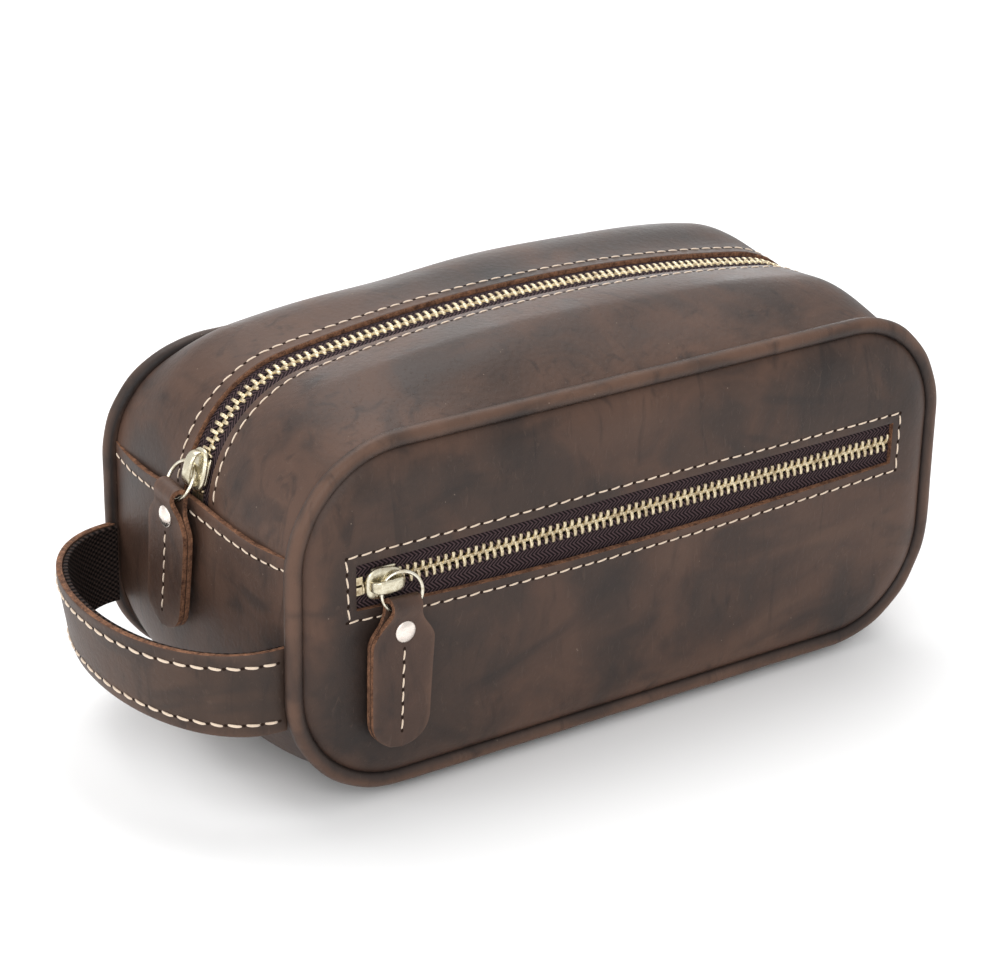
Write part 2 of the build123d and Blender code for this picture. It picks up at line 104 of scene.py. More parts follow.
world = bpy.data.worlds.new("white_room")
world.use_nodes = True
walls = world.node_tree.nodes["Background"].inputs
walls["Color"].default_value, walls["Strength"].default_value = (1, 1, 1, 1), 0.85
scene.world = world
scene.view_settings.view_transform = "Standard"

table_side = 6.0
table_mesh = bpy.data.meshes.new("table")
corners = [(x * table_side, y * table_side, 0) for x, y in ((-1, -1), (1, -1), (1, 1), (-1, 1))]
table_mesh.from_pydata(corners, [], [(0, 1, 2, 3)])
table = bpy.data.objects.new("table", table_mesh)
scene.collection.objects.link(table)
paper = bpy.data.materials.new("white_paper")
paper.use_nodes = True
sheet = paper.node_tree.nodes["Principled BSDF"].inputs
sheet["Base Color"].default_value, sheet["Roughness"].default_value = (0.9, 0.9, 0.9, 1), 0.9
table_mesh.materials.append(paper)

# ------------------------------------------------------------------ front and back faces
# Each face is one panel of dark waxed leather, puffed out a little from its sewn edge. The
# front one has a long window, cut square, for the pocket zip, and its lower lip sags.


class Value:
    """A value that a shader works out. Sums on it add Math nodes."""

    def __init__(self, finish, socket):
        self.finish, self.socket = finish, socket

    def sum(self, operation, a, b):
        return self.finish.node("ShaderNodeMath", {"operation": operation}, {0: a, 1: b})

    def __add__(self, other):
        return self.sum("ADD", self, other)

    def __radd__(self, other):
        return self.sum("ADD", other, self)

    def __sub__(self, other):
        return self.sum("SUBTRACT", self, other)

    def __rsub__(self, other):
        return self.sum("SUBTRACT", other, self)

    def __mul__(self, other):
        return self.sum("MULTIPLY", self, other)

    def __rmul__(self, other):
        return self.sum("MULTIPLY", other, self)

    def __gt__(self, other):
        return self.sum("GREATER_THAN", self, other)

    def __lt__(self, other):
        return self.sum("LESS_THAN", self, other)


class Finish:
    """A material and its node tree."""

    def __init__(self, name, **shader):
        self.material = bpy.data.materials.new(name)
        self.material.use_nodes = True
        self.tree = self.material.node_tree
        self.shader = self.tree.nodes["Principled BSDF"]
        for socket, value in shader.items():
            self.plug(self.shader.inputs[socket.replace("_", " ")], value)

    def plug(self, socket, value):
        if isinstance(value, Value):
            self.tree.links.new(value.socket, socket)
        else:
            socket.default_value = value

    def node(self, kind, settings=None, sockets=None, output=0):
        """Adds a node: its settings first, a ramp's stops among them, then its sockets."""
        new = self.tree.nodes.new(kind)
        for key, value in (settings or {}).items():
            if key == "stops":
                ramp = new.color_ramp
                for place, colour in value[2:]:
                    ramp.elements.new(place)
                for element, (place, colour) in zip(ramp.elements, value):
                    element.position, element.color = place, (*colour, 1)
            else:
                setattr(new, key, value)
        for key, value in (sockets or {}).items():
            self.plug(new.inputs[key], value)
        return Value(self, new.outputs[output])

    def place(self, name="Object"):
        return self.node("ShaderNodeTexCoord", output=name)

    def mapped(self, where, scale=(1, 1, 1), turn=(0, 0, 0)):
        return self.node("ShaderNodeMapping", None, {"Vector": where, "Scale": scale, "Rotation": turn})

    def noise(self, where, scale, detail=3.0, rough=0.5, bend=0.0):
        sockets = {"Vector": where, "Scale": scale, "Detail": detail, "Roughness": rough,
                   "Distortion": bend}
        return self.node("ShaderNodeTexNoise", None, sockets)

    def cells(self, where, scale, feature="F1"):
        sockets = {"Vector": where, "Scale": scale}
        return self.node("ShaderNodeTexVoronoi", {"feature": feature}, sockets)

    def mark(self, name):
        """A number that the mesh carries at each point."""
        return self.node("ShaderNodeAttribute", {"attribute_name": name}, output="Fac")

    def clamp(self, value, low, high, to_low=0.0, to_high=1.0):
        """A value's stretch from low to high, spread smoothly between two others."""
        sockets = {"Value": value, "From Min": low, "From Max": high, "To Min": to_low, "To Max": to_high}
        return self.node("ShaderNodeMapRange", {"interpolation_type": "SMOOTHSTEP"}, sockets)

    def mix(self, first, second, share):
        """One colour laid over another."""
        sockets = {0: share, 6: self.rgba(first), 7: self.rgba(second)}
        return self.node("ShaderNodeMix", {"data_type": "RGBA"}, sockets, 2)

    def rgba(self, colour):
        return colour if isinstance(colour, Value) else (*colour, 1)

    def wave(self, value):
        return self.node("ShaderNodeMath", {"operation": "SINE"}, {0: value})

    def cloth_lines(self):
        """Lengths along and across a piece of cloth, from its own UV map."""
        split = self.node("ShaderNodeSeparateXYZ", None, {0: self.place("UV")}).socket.node
        return Value(self, split.outputs[0]), Value(self, split.outputs[1])

    def ramp(self, value, stops):
        return self.node("ShaderNodeValToRGB", {"stops": stops}, {0: value})

    def paint(self, colour, roughness, height, depth, metallic=None):
        """Joins the colour, the roughness and a relief, in metres, to the shader."""
        self.plug(self.shader.inputs["Base Color"], colour)
        self.plug(self.shader.inputs["Roughness"], roughness)
        if metallic is not None:
            self.plug(self.shader.inputs["Metallic"], metallic)
        relief = self.node("ShaderNodeBump", None, {"Height": height, "Distance": depth, "Strength": 1.0})
        self.plug(self.shader.inputs["Normal"], relief)
        return self.material


def waxed_leather(name, tones, rubbed, warm=0.5, grain=1.0):
    """Dark pull-up leather: cloudy, warmer where it is rubbed or bent, finely grained."""
    f = Finish(name, Specular_IOR_Level=0.30)
    where = f.place()
    clouds = f.noise(where, 13, 2.0, 0.5, 0.8)
    patches = f.noise(where, 38, 4.0, 0.60, 0.7)
    tone = f.ramp(clouds * 0.62 + patches * 0.38, tones)
    rub = f.mark("rub")
    worn = f.clamp(rub + (patches - 0.5) * 0.9 + (clouds - 0.5) * 0.5, 0.18, 1.05)
    colour = f.mix(tone, rubbed, worn * warm)
    streaks = f.noise(f.mapped(where, (1, 1, 0.25)), 130, 3.0, 0.6, 1.2)
    colour = f.mix(colour, (0.012, 0.008, 0.007), f.clamp(streaks, 0.52, 0.78, 0.0, 0.55))
    smoke = f.noise(f.mapped(where, (0.6, 1, 1.4), (0.0, 0.3, 0.0)), 26, 3.0, 0.55, 1.4)
    colour = f.mix(colour, (0.016, 0.012, 0.011), f.clamp(smoke, 0.50, 0.74, 0.0, 0.62))
    pores = f.cells(where, 1150)
    pebble = f.cells(where, 620, "SMOOTH_F1")
    fine = f.noise(where, 2600, 2.0, 0.6)
    scuffs = f.noise(f.mapped(where, (1, 1, 0.35), (0.3, 0.6, 0.9)), 260, 4.0, 0.65, 2.5)
    lines = f.clamp(scuffs, 0.60, 0.68)
    colour = f.mix(colour, (0.15, 0.10, 0.075), lines * 0.14)
    dust = (f.cells(where, 240) < 0.055) * (f.noise(where, 75, 1.0) > 0.58)
    colour = f.mix(colour, (0.30, 0.23, 0.18), dust * 0.40)
    colour = f.mix(colour, (0.010, 0.007, 0.006), f.clamp(pores, 0.0, 0.16, 0.35, 0.0))
    # Painted shade: the mesh's crease mark paints the crease along each seam near black.
    colour = f.mix(colour, (0.006, 0.004, 0.004), f.mark("crease_shade") * 0.85)
    gloss = 0.50 + (patches - 0.5) * 0.25 + (fine - 0.5) * 0.10 + lines * 0.08
    height = pebble * 0.5 + fine * 0.22 + f.clamp(pores, 0.0, 0.25) * 0.35 + lines * 0.25
    return f.paint(colour, gloss, height, 0.00016 * grain)


body_tones = [
    (0.30, (0.018, 0.012, 0.010)),
    (0.44, (0.039, 0.023, 0.017)),
    (0.54, (0.064, 0.034, 0.023)),
    (0.70, (0.088, 0.050, 0.034)),
]
body_leather = waxed_leather("body_leather", body_tones, (0.118, 0.060, 0.038), 0.55)


def cut_edge(name, pale, dark):
    """The fibrous cut edge of leather: a felt of tan and brown fibres."""
    f = Finish(name, Specular_IOR_Level=0.2)
    where = f.place()
    fibre = f.noise(where, 1500, 4.0, 0.7, 1.0)
    clumps = f.noise(where, 330, 3.0, 0.6)
    colour = f.mix(dark, pale, f.clamp(fibre * 0.6 + clumps * 0.4, 0.36, 0.66))
    return f.paint(colour, 0.85 + (fibre - 0.5) * 0.2, fibre + clumps, 0.00035)


raw_edge = cut_edge("raw_edge", (0.30, 0.145, 0.080), (0.060, 0.028, 0.018))

low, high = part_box("front_piping")
cord_r = (high.y - low.y) / 2
seam_y = -(high.y + low.y) / 2
seam_x = high.x - cord_r
middle_z = (high.z + low.z) / 2
seam_h = (high.z - low.z) / 2 - cord_r
seam_corner = 36.5 * mm
leather_thick = 1.8 * mm
face_y = -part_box("front_panel")[0].y
tuck = 1.6 * mm            # how far a panel's edge lies inside the piping's centreline


def quad_grid(rows, columns, closed=(False, True)):
    """The corner numbers of a grid's cells. Rows or columns may close on themselves."""
    index = np.arange(rows * columns).reshape(rows, columns)
    if closed[0]:
        index = np.vstack([index, index[:1]])
    if closed[1]:
        index = np.hstack([index, index[:, :1]])
    return np.stack([index[:-1, :-1], index[:-1, 1:], index[1:, 1:], index[1:, :-1]], -1)


def smooth_piece(name, points, faces, *finishes):
    """A smooth-shaded object at the origin, with its place in its mesh."""
    mesh = bpy.data.meshes.new(name)
    mesh.from_pydata(points.tolist(), [], faces)
    mesh.polygons.foreach_set("use_smooth", [True] * len(mesh.polygons))
    for finish in finishes:
        mesh.materials.append(finish)
    piece = bpy.data.objects.new(name, mesh)
    scene.collection.objects.link(piece)
    return piece


def place_on(piece, body, stands_for):
    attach(piece, body)
    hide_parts(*stands_for)


def sheet_mesh(name, points, finish, body, stands_for, closed=(False, False), keep=None,
               marks=None, uv=None, flip=False, thick=0.0, edge=None, soften=0):
    """A grid of points, rows by columns, as one smooth skin. Rows or columns may close on
    themselves, and thick gives the skin a wall behind its face."""
    rows, columns = points.shape[:2]
    quads = quad_grid(rows, columns, closed)
    quads = quads[keep] if keep is not None else quads.reshape(-1, 4)
    quads = quads[:, ::-1] if flip else quads
    used, packed = np.unique(quads, return_inverse=True)
    finishes = (finish, edge) if edge else (finish,)
    piece = smooth_piece(name, points.reshape(-1, 3)[used], packed.reshape(-1, 4).tolist(), *finishes)
    mesh = piece.data
    for mark, values in (marks or {}).items():
        field = mesh.attributes.new(mark, "FLOAT", "POINT")
        values = np.broadcast_to(values, (rows, columns)).ravel()[used]
        field.data.foreach_set("value", values.astype(np.float32))
    if uv is not None:
        corner = np.zeros(len(mesh.loops), np.int32)
        mesh.loops.foreach_get("vertex_index", corner)
        layer = mesh.uv_layers.new(name="UVMap")
        layer.data.foreach_set("uv", uv.reshape(-1, 2)[used][corner].astype(np.float32).ravel())
    if thick:
        wall = piece.modifiers.new("wall", "SOLIDIFY")
        wall.thickness, wall.offset = thick, -1.0
        wall.material_offset_rim = 1 if edge else 0
        if soften:
            rim = piece.modifiers.new("rim", "BEVEL")
            rim.width, rim.segments, rim.limit_method = soften, 2, "ANGLE"
    place_on(piece, body, stands_for)
    return piece


def depth_in(x, z):
    """How far in from the panels' sewn outline a point lies: the distance to a rounded
    rectangle, which is its corner radius less the distance outside the corners' centres."""
    reach_x = np.abs(x) - (seam_x - seam_corner)
    reach_z = np.abs(z - middle_z) - (seam_h - seam_corner)
    outside = np.hypot(np.maximum(reach_x, 0), np.maximum(reach_z, 0))
    return seam_corner - tuck - outside - np.minimum(np.maximum(reach_x, reach_z), 0)


def hill(x, z, centre_x, centre_z, width, height):
    """A round hill: e to the minus squared distance, in widths."""
    return np.exp(-(((x - centre_x) / width) ** 2) - ((z - centre_z) / height) ** 2)


def panel_out(x, z, width, soft):
    """How far out a panel stands. It rises from its seam by a superellipse's quarter, and
    has shallow hills and hollows: rises, centres and widths in mm, seen from its middle."""
    run = 1 - np.clip(depth_in(x, z) / width, 0, 1)
    rise = face_y - seam_y + seam_depth
    out = seam_y - seam_depth + rise * (1 - run**2.3) ** (1 / 1.7)
    for lift, centre_x, centre_z, wide, high in soft:
        out = out + lift * mm * hill(x, z, centre_x * mm, middle_z + centre_z * mm, wide * mm, high * mm)
    return out


seam_depth = 0.7 * mm
front_soft = (
    (0.9, -50, -22, 60, 24),
    (0.8, 62, 28, 55, 16),
    (-0.7, 15, 33, 26, 14),
    (-0.6, 55, -26, 38, 16),
    (-0.5, -92, 34, 18, 18),
)
back_soft = ((1.4, 40, -10, 60, 30), (-0.9, -40, 15, 40, 22))


def front_face(x, z):
    return panel_out(x, z, 13 * mm, front_soft)


pocket_middle = sum(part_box("pocket_slider"), Vector()) / 2
pocket_z = pocket_middle.z
tape_tail = 5 * mm
window_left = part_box("pocket_zip_tape_upper")[0].x + tape_tail
window_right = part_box("pocket_zip_tape_upper")[1].x - tape_tail
window_half = 7.25 * mm
lip_sag = 2.6 * mm


def window_share(x):
    """The share of the way along the window."""
    return np.clip((x - window_left) / (window_right - window_left), 0, 1)


def lip_drop(x):
    """How far the window's lower lip sags: a half wave between its ends."""
    return lip_sag * np.sin(np.pi * window_share(x) ** 0.85)


def back_sink(z):
    """How far the back's top edge has sunk: 4.6 mm times a squared share of the height."""
    return 4.6 * mm * np.clip((z - middle_z - 12 * mm) / (43 * mm), 0, 1) ** 2


def face_grid(window):
    """A face's grid: rows across it, each as wide as the rounded outline allows. Rows and
    columns run along the window's sides, so that the window is a block of missing cells."""
    half_x, half_z, r = seam_x - tuck, seam_h - tuck, seam_corner - tuck
    straight = half_z - r
    turn = np.radians(np.linspace(0, 90, 23))
    low_z, high_z = pocket_z - middle_z - window_half, pocket_z - middle_z + window_half
    upper_rows = straight + r * np.sin(turn)
    heights = np.concatenate(
        [
            -upper_rows[::-1],
            np.linspace(-straight, low_z, 26)[1:],
            np.linspace(low_z, high_z, 9)[1:],
            upper_rows[upper_rows > high_z + 0.8 * mm],
        ]
    )
    left, right_end = window_left / half_x, window_right / half_x
    shares = np.concatenate(
        [
            -1 + (left + 1) * np.linspace(0, 1, 16) ** 1.3,
            np.linspace(left, right_end, 120)[1:],
            1 - (1 - right_end) * np.linspace(1, 0, 13)[1:] ** 1.3,
        ]
    )
    over = np.maximum(np.abs(heights) - straight, 0)
    row_half = half_x - r + np.sqrt(np.maximum(r**2 - over**2, 0))
    x = shares[None, :] * row_half[:, None]
    z = np.broadcast_to(heights[:, None], x.shape) + middle_z
    keep = np.ones((len(heights) - 1, len(shares) - 1), bool)
    if window:
        i = np.searchsorted(heights, [low_z - 1e-6, high_z - 1e-6])
        j = np.searchsorted(shares, [left - 1e-6, right_end - 1e-6])
        keep[i[0] : i[1], j[0] : j[1]] = False
        fade = np.exp(-(((z - middle_z - low_z) / (13 * mm)) ** 2)) * (z - middle_z < low_z + 1e-6)
        z = z - lip_drop(x) * fade
    return x, z, keep


face_x, face_z, face_keep = face_grid(window=True)
lip = np.exp(-np.maximum(pocket_z - window_half - lip_drop(face_x) - face_z, 0) / (3.0 * mm))
lip *= (face_z < pocket_z) * np.sin(np.pi * window_share(face_x))
front_out = front_face(face_x, face_z) + 0.8 * mm * lip


def face_marks(x, z, more=0.0):
    """A panel is rubbed towards its seam, and painted shade darkens the crease along the seam itself."""
    depth = depth_in(x, z)
    return {"rub": 0.15 + 0.75 * np.exp(-depth / (7 * mm)) + more, "crease_shade": np.exp(-depth / (1.1 * mm))}


sheet_mesh(
    "face_front",
    np.stack([face_x, -front_out, face_z], -1),
    body_leather,
    "bag",
    ["front_panel"],
    keep=face_keep,
    marks=face_marks(face_x, face_z, 0.3 * lip),
    thick=leather_thick,
    edge=raw_edge,
    soften=0.35 * mm,
)

back_x, back_z, _ = face_grid(window=False)
sheet_mesh(
    "face_back",
    np.stack([back_x, panel_out(back_x, back_z, 15 * mm, back_soft), back_z - back_sink(back_z)], -1),
    body_leather,
    "bag",
    ["back_panel"],
    marks=face_marks(back_x, back_z),
    flip=True,
    thick=leather_thick,
)

# ------------------------------------------------------------------ piping
# A strip of the same leather wrapped round a cord and caught in the seam all round each
# face. It is rubbed lighter than the panels and puckers a little round the corners.
piping_tones = [
    (0.28, (0.020, 0.013, 0.011)),
    (0.46, (0.044, 0.026, 0.019)),
    (0.60, (0.072, 0.041, 0.029)),
    (0.75, (0.096, 0.056, 0.040)),
]
piping_leather = waxed_leather("piping_leather", piping_tones, (0.135, 0.070, 0.044), 0.6, 1.1)


def seam_loop(count):
    """Points and outward normals round the seam: four straights and four quarter circles,
    at equal distances, starting at the middle of the bottom."""
    flat_x, flat_z, r = seam_x - seam_corner, seam_h - seam_corner, seam_corner
    quarter = np.pi / 2 * r
    half_way = [flat_x, quarter, 2 * flat_z, quarter]
    lengths = np.array([*half_way, 2 * flat_x, *half_way[:0:-1], flat_x])
    starts = np.concatenate([[0], np.cumsum(lengths)])
    s = np.linspace(0, starts[-1], count, endpoint=False)
    part = np.searchsorted(starts, s, side="right") - 1
    run = s - starts[part]
    heading = np.array([0, 0, 1, 1, 2, 2, 3, 3, 4])[part] * np.pi / 2
    bend = np.where(part % 2 == 1, run / r, 0.0)
    centre_x = flat_x * np.array([0, 1, 1, 1, 1, -1, -1, -1, -1])[part]
    centre_z = flat_z * np.array([-1, -1, -1, 1, 1, 1, 1, -1, -1])[part]
    straight = np.where(part % 2 == 0, run, 0.0)
    angle = heading + bend
    normal = np.stack([np.sin(angle), 0 * angle, -np.cos(angle)], -1)
    along = np.stack([np.cos(angle), 0 * angle, np.sin(angle)], -1)
    place = np.stack([centre_x, 0 * angle, centre_z + middle_z], -1) + normal * r + along * straight[:, None]
    return place, normal, s


def round_seam(side, count):
    """The seam's path on one face, its normals and distances, and count directions round
    it, whose angles start outwards from the face."""
    place, normal, s = seam_loop(560)
    place = place + [0, side * seam_y, 0]
    if side > 0:
        place[:, 2] -= back_sink(place[:, 2])
    angle = np.linspace(0, 2 * np.pi, count, endpoint=False)
    outwards = np.array([0, side, 0])
    ring = np.cos(angle)[None, :, None] * outwards + np.sin(angle)[None, :, None] * normal[:, None, :]
    return place[:, None, :], normal, s, angle, ring


def piping(name, side, stands_for):
    """A tube round the seam: its radius ripples a little, more at the corners and most on its
    outer side."""
    place, normal, s, angle, ring = round_seam(side, 24)
    bumps = 0.10 * np.sin(s * 410) * np.sin(s * 37) + 0.08 * np.sin(s * 173 + 1)
    at_corner = np.clip(np.minimum(np.abs(normal[:, 0]), np.abs(normal[:, 2])) * 2.5, 0, 1)
    ripple = bumps * (0.4 + 0.6 * at_corner) * mm
    radius = cord_r + 0.12 * mm + ripple[:, None] * (1 + np.cos(angle - 0.8))[None, :] * 0.5
    points = place + radius[..., None] * ring
    rub = 0.15 + 0.85 * np.clip(np.cos(angle - 0.7), 0, 1)[None, :] ** 2 + 0 * radius
    turn = np.degrees((angle + np.pi) % (2 * np.pi) - np.pi)
    # Painted shade: the crease mark darkens the piping where it meets the panels, at about -62 and 152
    # degrees round it.
    crease_shade = np.exp(-(((turn + 62) / 20) ** 2)) + np.exp(-(((np.abs(turn) - 152) / 20) ** 2))
    sheet_mesh(name, points, piping_leather, "bag", stands_for, (True, True),
               marks={"rub": rub, "crease_shade": crease_shade[None, :] + 0 * radius}, flip=side < 0)


piping("piping_front", -1, ["front_piping"])
piping("piping_back", 1, ["back_piping"])

# ------------------------------------------------------------------ base and end walls
# One long piece of leather runs down an end, under the bag and up the other end. Its top
# edges are cut, folded over the top pieces' feet and sewn down: the two yokes.
end_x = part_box("base_band")[1].x
yoke_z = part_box("base_band")[1].z
base_corner = 38 * mm
edge_y = seam_y - 1.2 * mm


def hanging_line(side_x, bottom, corner, top, counts):
    """Half a U, from the top of the left end to the middle of the bottom: a straight, a
    quarter circle and a straight. The other half mirrors it."""
    down = np.linspace(top, bottom + corner, counts[0])
    turn = np.radians(np.linspace(0, 90, counts[1])[1:])
    flat = np.linspace(-(side_x - corner), 0, counts[2])[1:]
    x = np.concatenate([np.full(counts[0], -side_x), -(side_x - corner) - corner * np.cos(turn), flat])
    z = np.concatenate([down, bottom + corner - corner * np.sin(turn), np.full(len(flat), bottom)])
    x = np.concatenate([x, -x[-2::-1]])
    z = np.concatenate([z, z[-2::-1]])
    return x, z


def yoke_wave(y):
    """The yokes' cut edge dips at its middle and near the back, by less than 2 mm."""
    return 1.3 * mm * np.cos(y / (11.5 * mm)) * np.exp(-((y / (60 * mm)) ** 2)) - 0.6 * mm


def yoke_line(y, z):
    """A height on an end wall, moved by the yoke's wave times a squared share of the way
    up from the face's middle."""
    return z + np.clip((z - middle_z) / (yoke_z - middle_z), 0, 1) ** 2 * yoke_wave(y)


def end_swell(y, z):
    """How far an end wall stands out: a broad hill at its middle, less a hollow in front."""
    swell = 1.2 * mm * hill(y, z, 0, middle_z - 10 * mm, 34 * mm, 26 * mm)
    return swell - 0.7 * mm * hill(y, z, -26 * mm, middle_z + 8 * mm, 10 * mm, 18 * mm)


def base_skin(across):
    """The band's outer face: between the sagging middle line and the seam's line, mixed by
    the share of the way to the seam to the power 3.2."""
    counts = (34, 24, 60)
    mid_x, mid_z = hanging_line(end_x, 0.0, base_corner, yoke_z, counts)
    seam_low = middle_z - seam_h + 0.8 * mm
    sewn_x, sewn_z = hanging_line(seam_x - 0.8 * mm, seam_low, seam_corner, yoke_z, counts)
    share = (np.abs(across) / edge_y) ** 3.2
    x = mid_x[:, None] + (sewn_x - mid_x)[:, None] * share[None, :]
    z = mid_z[:, None] + (sewn_z - mid_z)[:, None] * share[None, :]
    y = np.broadcast_to(across[None, :], x.shape)
    z = yoke_line(y, z)
    x = x + np.sign(x) * end_swell(y, z) * np.clip((np.abs(x) - 100 * mm) / (20 * mm), 0, 1)
    return np.stack([x, y, z], -1)


band_y = edge_y * np.sin(np.radians(np.linspace(-90, 90, 49)))
base_points = base_skin(band_y)
near_seam = np.exp(-(edge_y - np.abs(base_points[..., 1])) / (6 * mm))
near_yoke = np.exp(-np.abs(yoke_z - base_points[..., 2]) / (3 * mm))
sheet_mesh(
    "base_and_ends",
    base_points,
    body_leather,
    "bag",
    ["base_band"],
    # Painted shade: near its seams the crease mark darkens the band.
    marks={"rub": 0.2 + 0.6 * near_seam + 0.6 * near_yoke, "crease_shade": near_seam**5},
    thick=leather_thick,
    edge=raw_edge,
    soften=0.5 * mm,
)

# ------------------------------------------------------------------ top pieces
# Two strips of leather, cut to the zip's curve on one side and sewn to the piping on the
# other. They dome up from the piping and lie level beside the zip, with bare cut edges.
bend = Vector(next(j for j in frame["joints"] if j["name"] == "main_slider_travel")["pos_m"])
top_x = -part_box("top_strip_front")[0].x
crest_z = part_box("top_strip_front")[1].z
foot_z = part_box("top_strip_front")[0].z
slot_half = 6.4 * mm


class Arch:
    """The curve that the zip follows: up one end, round a bend, over a shallow crown, round
    the other bend and down. Distances along it start at the left bend's foot."""

    def __init__(self, side, corner, corner_z, crest):
        self.side, self.corner, self.corner_z = side, corner, corner_z
        self.span = side - corner
        rise = crest - corner_z
        self.crown = (self.span**2 + rise**2 - corner**2) / (2 * (rise - corner))
        self.turn = np.arcsin(self.span / (self.crown - corner))
        self.crown_z = crest - self.crown
        self.bend_length = (np.pi / 2 - self.turn) * corner
        self.top_length = 2 * self.turn * self.crown

    def at(self, share):
        """Point and outward normal for a share of the way: 0 to 1 is the left foot, 1 to 2
        its bend, 2 to 3 the crown, 3 to 4 the right bend and 4 to 5 the right foot."""
        part = np.clip(np.floor(share), 0, 4).astype(int)
        run = share - part
        bend_turn = np.pi / 2 - self.turn
        angle = np.select(
            [part == 0, part == 1, part == 2, part == 3],
            [np.pi, np.pi - bend_turn * run, np.pi / 2 + self.turn * (1 - 2 * run), bend_turn * (1 - run)],
            0.0,
        )
        radius = np.where(part == 2, self.crown, self.corner)
        centre_x = np.select([part <= 1, part == 2], [-self.span, 0.0], self.span)
        centre_z = np.where(part == 2, self.crown_z, self.corner_z)
        foot = np.select([part == 0, part == 4], [1 - run, run], 0.0) * (self.corner_z - foot_z)
        normal = np.stack([np.cos(angle), 0 * angle, np.sin(angle)], -1)
        place = np.stack([centre_x, 0 * angle, centre_z - foot], -1) + normal * radius[..., None]
        return place, normal

    def share(self, distance, depth=0.0):
        """The share for a distance along the arch, at a depth under it."""
        bend = self.bend_length * (1 - depth / self.corner)
        top = self.top_length * (1 - depth / self.crown)
        return np.interp(distance, [0, bend, bend + top, 2 * bend + top], [1, 2, 3, 4])

    def length(self, depth=0.0):
        return 2 * self.bend_length * (1 - depth / self.corner) + self.top_length * (1 - depth / self.crown)


zip_arch = Arch(top_x, top_x + bend.x, bend.z, crest_z)
seam_arch = Arch(
    seam_x - 0.8 * mm, seam_corner - 0.8 * mm, middle_z + seam_h - seam_corner, middle_z + seam_h - 0.5 * mm
)


# Dents and swells: rise, place along and across, length and width, in mm.
front_dents = ((-2.2, 22, 33, 34, 13), (1.2, -45, 38, 24, 9), (1.3, 78, 36, 22, 12))
back_dents = ((-1.8, -36, 38, 26, 14), (1.8, 76, 36, 32, 14))


def top_skin(side, share, across):
    """A top piece's outer face. It runs from the seam's arch to the zip's by 1 minus a
    power of the way across, then gets a low roll, dents and a small fall to the zip."""
    zip_place, zip_normal = zip_arch.at(share)
    sewn_place, sewn_normal = seam_arch.at(share)
    if side > 0:
        sewn_place[..., 2] -= back_sink(sewn_place[..., 2])
    way = (edge_y - across) / (edge_y - slot_half)
    rise = 1 - (1 - np.clip(way / (0.62 if side < 0 else 0.50), 0, 1)) ** (1.55 if side < 0 else 1.75)
    place = sewn_place + (zip_place - sewn_place) * rise[..., None]
    normal = sewn_normal + (zip_normal - sewn_normal) * rise[..., None]
    x, y = place[..., 0], across
    up_here = np.clip(normal[..., 2], 0, 1)
    roll = (0.9 if side < 0 else 1.9) * hill(y, 0, 27 * mm, 0, 12 * mm, 1.0)
    dents = 0.0
    for lift, centre_x, centre_y, long, wide in front_dents if side < 0 else back_dents:
        dents = dents + lift * hill(x, y, centre_x * mm, centre_y * mm, long * mm, wide * mm)
    drop = (0.9 if side < 0 else 0.0) * np.exp(-(y - slot_half) / (5 * mm))
    ends = -0.8 * (1 - up_here) * hill(y, 0, 34 * mm, 0, 12 * mm, 1.0)
    place = place + normal * ((roll * up_here + dents * up_here - drop + ends) * mm)[..., None]
    place[..., 1] = side * across
    return place


def top_piece(name, side, stands_for):
    share = np.concatenate(
        [np.linspace(0, 1, 5)[:-1], np.linspace(1, 2, 33)[:-1], np.linspace(2, 3, 130)[:-1],
         np.linspace(3, 4, 33)[:-1], np.linspace(4, 5, 5)]
    )
    across = slot_half + (edge_y - slot_half) * np.linspace(0, 1, 40) ** 1.15
    share, across = np.meshgrid(share, across, indexing="ij")
    points = top_skin(side, share, across)
    near_seam = np.exp(-(edge_y - across) / (8 * mm))
    near_zip = np.exp(-(across - slot_half) / (2.5 * mm))
    sheet_mesh(name, points, body_leather, "bag", stands_for,
               # Painted shade: the crease mark darkens each top piece beside its seam.
               marks={"rub": 0.3 + 0.7 * near_seam + 0.5 * near_zip, "crease_shade": near_seam**6}, flip=side > 0,
               thick=leather_thick + 0.2 * mm, edge=raw_edge, soften=0.4 * mm)


top_piece("top_front", -1, ["top_strip_front"])
top_piece("top_back", 1, ["top_strip_back"])

# ------------------------------------------------------------------ zips
# Number 5 brass zips on dark woven tapes. The tapes are herringbone cloth sewn under the
# leather, the teeth are crimped round their thick edges, and two tapes' teeth lock.
tooth_pitch = 2.73 * mm
zip_depth = leather_thick + 0.35 * mm
tape_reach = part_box("main_zip_tape_back")[1].y


def woven_tape(name):
    """Herringbone tape: slanting ribs that change direction at each lane, over fine yarns."""
    f = Finish(name, Specular_IOR_Level=0.15)
    along, across = f.cloth_lines()
    lane = f.node("ShaderNodeMath", {"operation": "PINGPONG"}, {0: across, 1: 0.0021})
    rib = f.wave((along + lane * 1.15) * 4200)
    yarn = f.wave((along - lane * 0.8) * 11000 + across * 2500)
    fuzz = f.noise(f.place(), 1900, 3.0, 0.6)
    height = rib * 0.5 + yarn * 0.15 + (fuzz - 0.5) * 0.7
    # Painted highlight and shade: over the tape's dark cloth, the colour runs from near black in the grooves
    # to pale on the ribs' tops.
    colour = f.mix((0.006, 0.003, 0.004), (0.092, 0.058, 0.062), f.clamp(height, -0.4, 0.75))
    colour = f.mix(colour, (0.14, 0.09, 0.085), f.clamp(fuzz, 0.62, 0.8) * 0.35)
    return f.paint(colour, 0.82 + (fuzz - 0.5) * 0.2, height, 0.00028)


tape_cloth = woven_tape("tape_cloth")


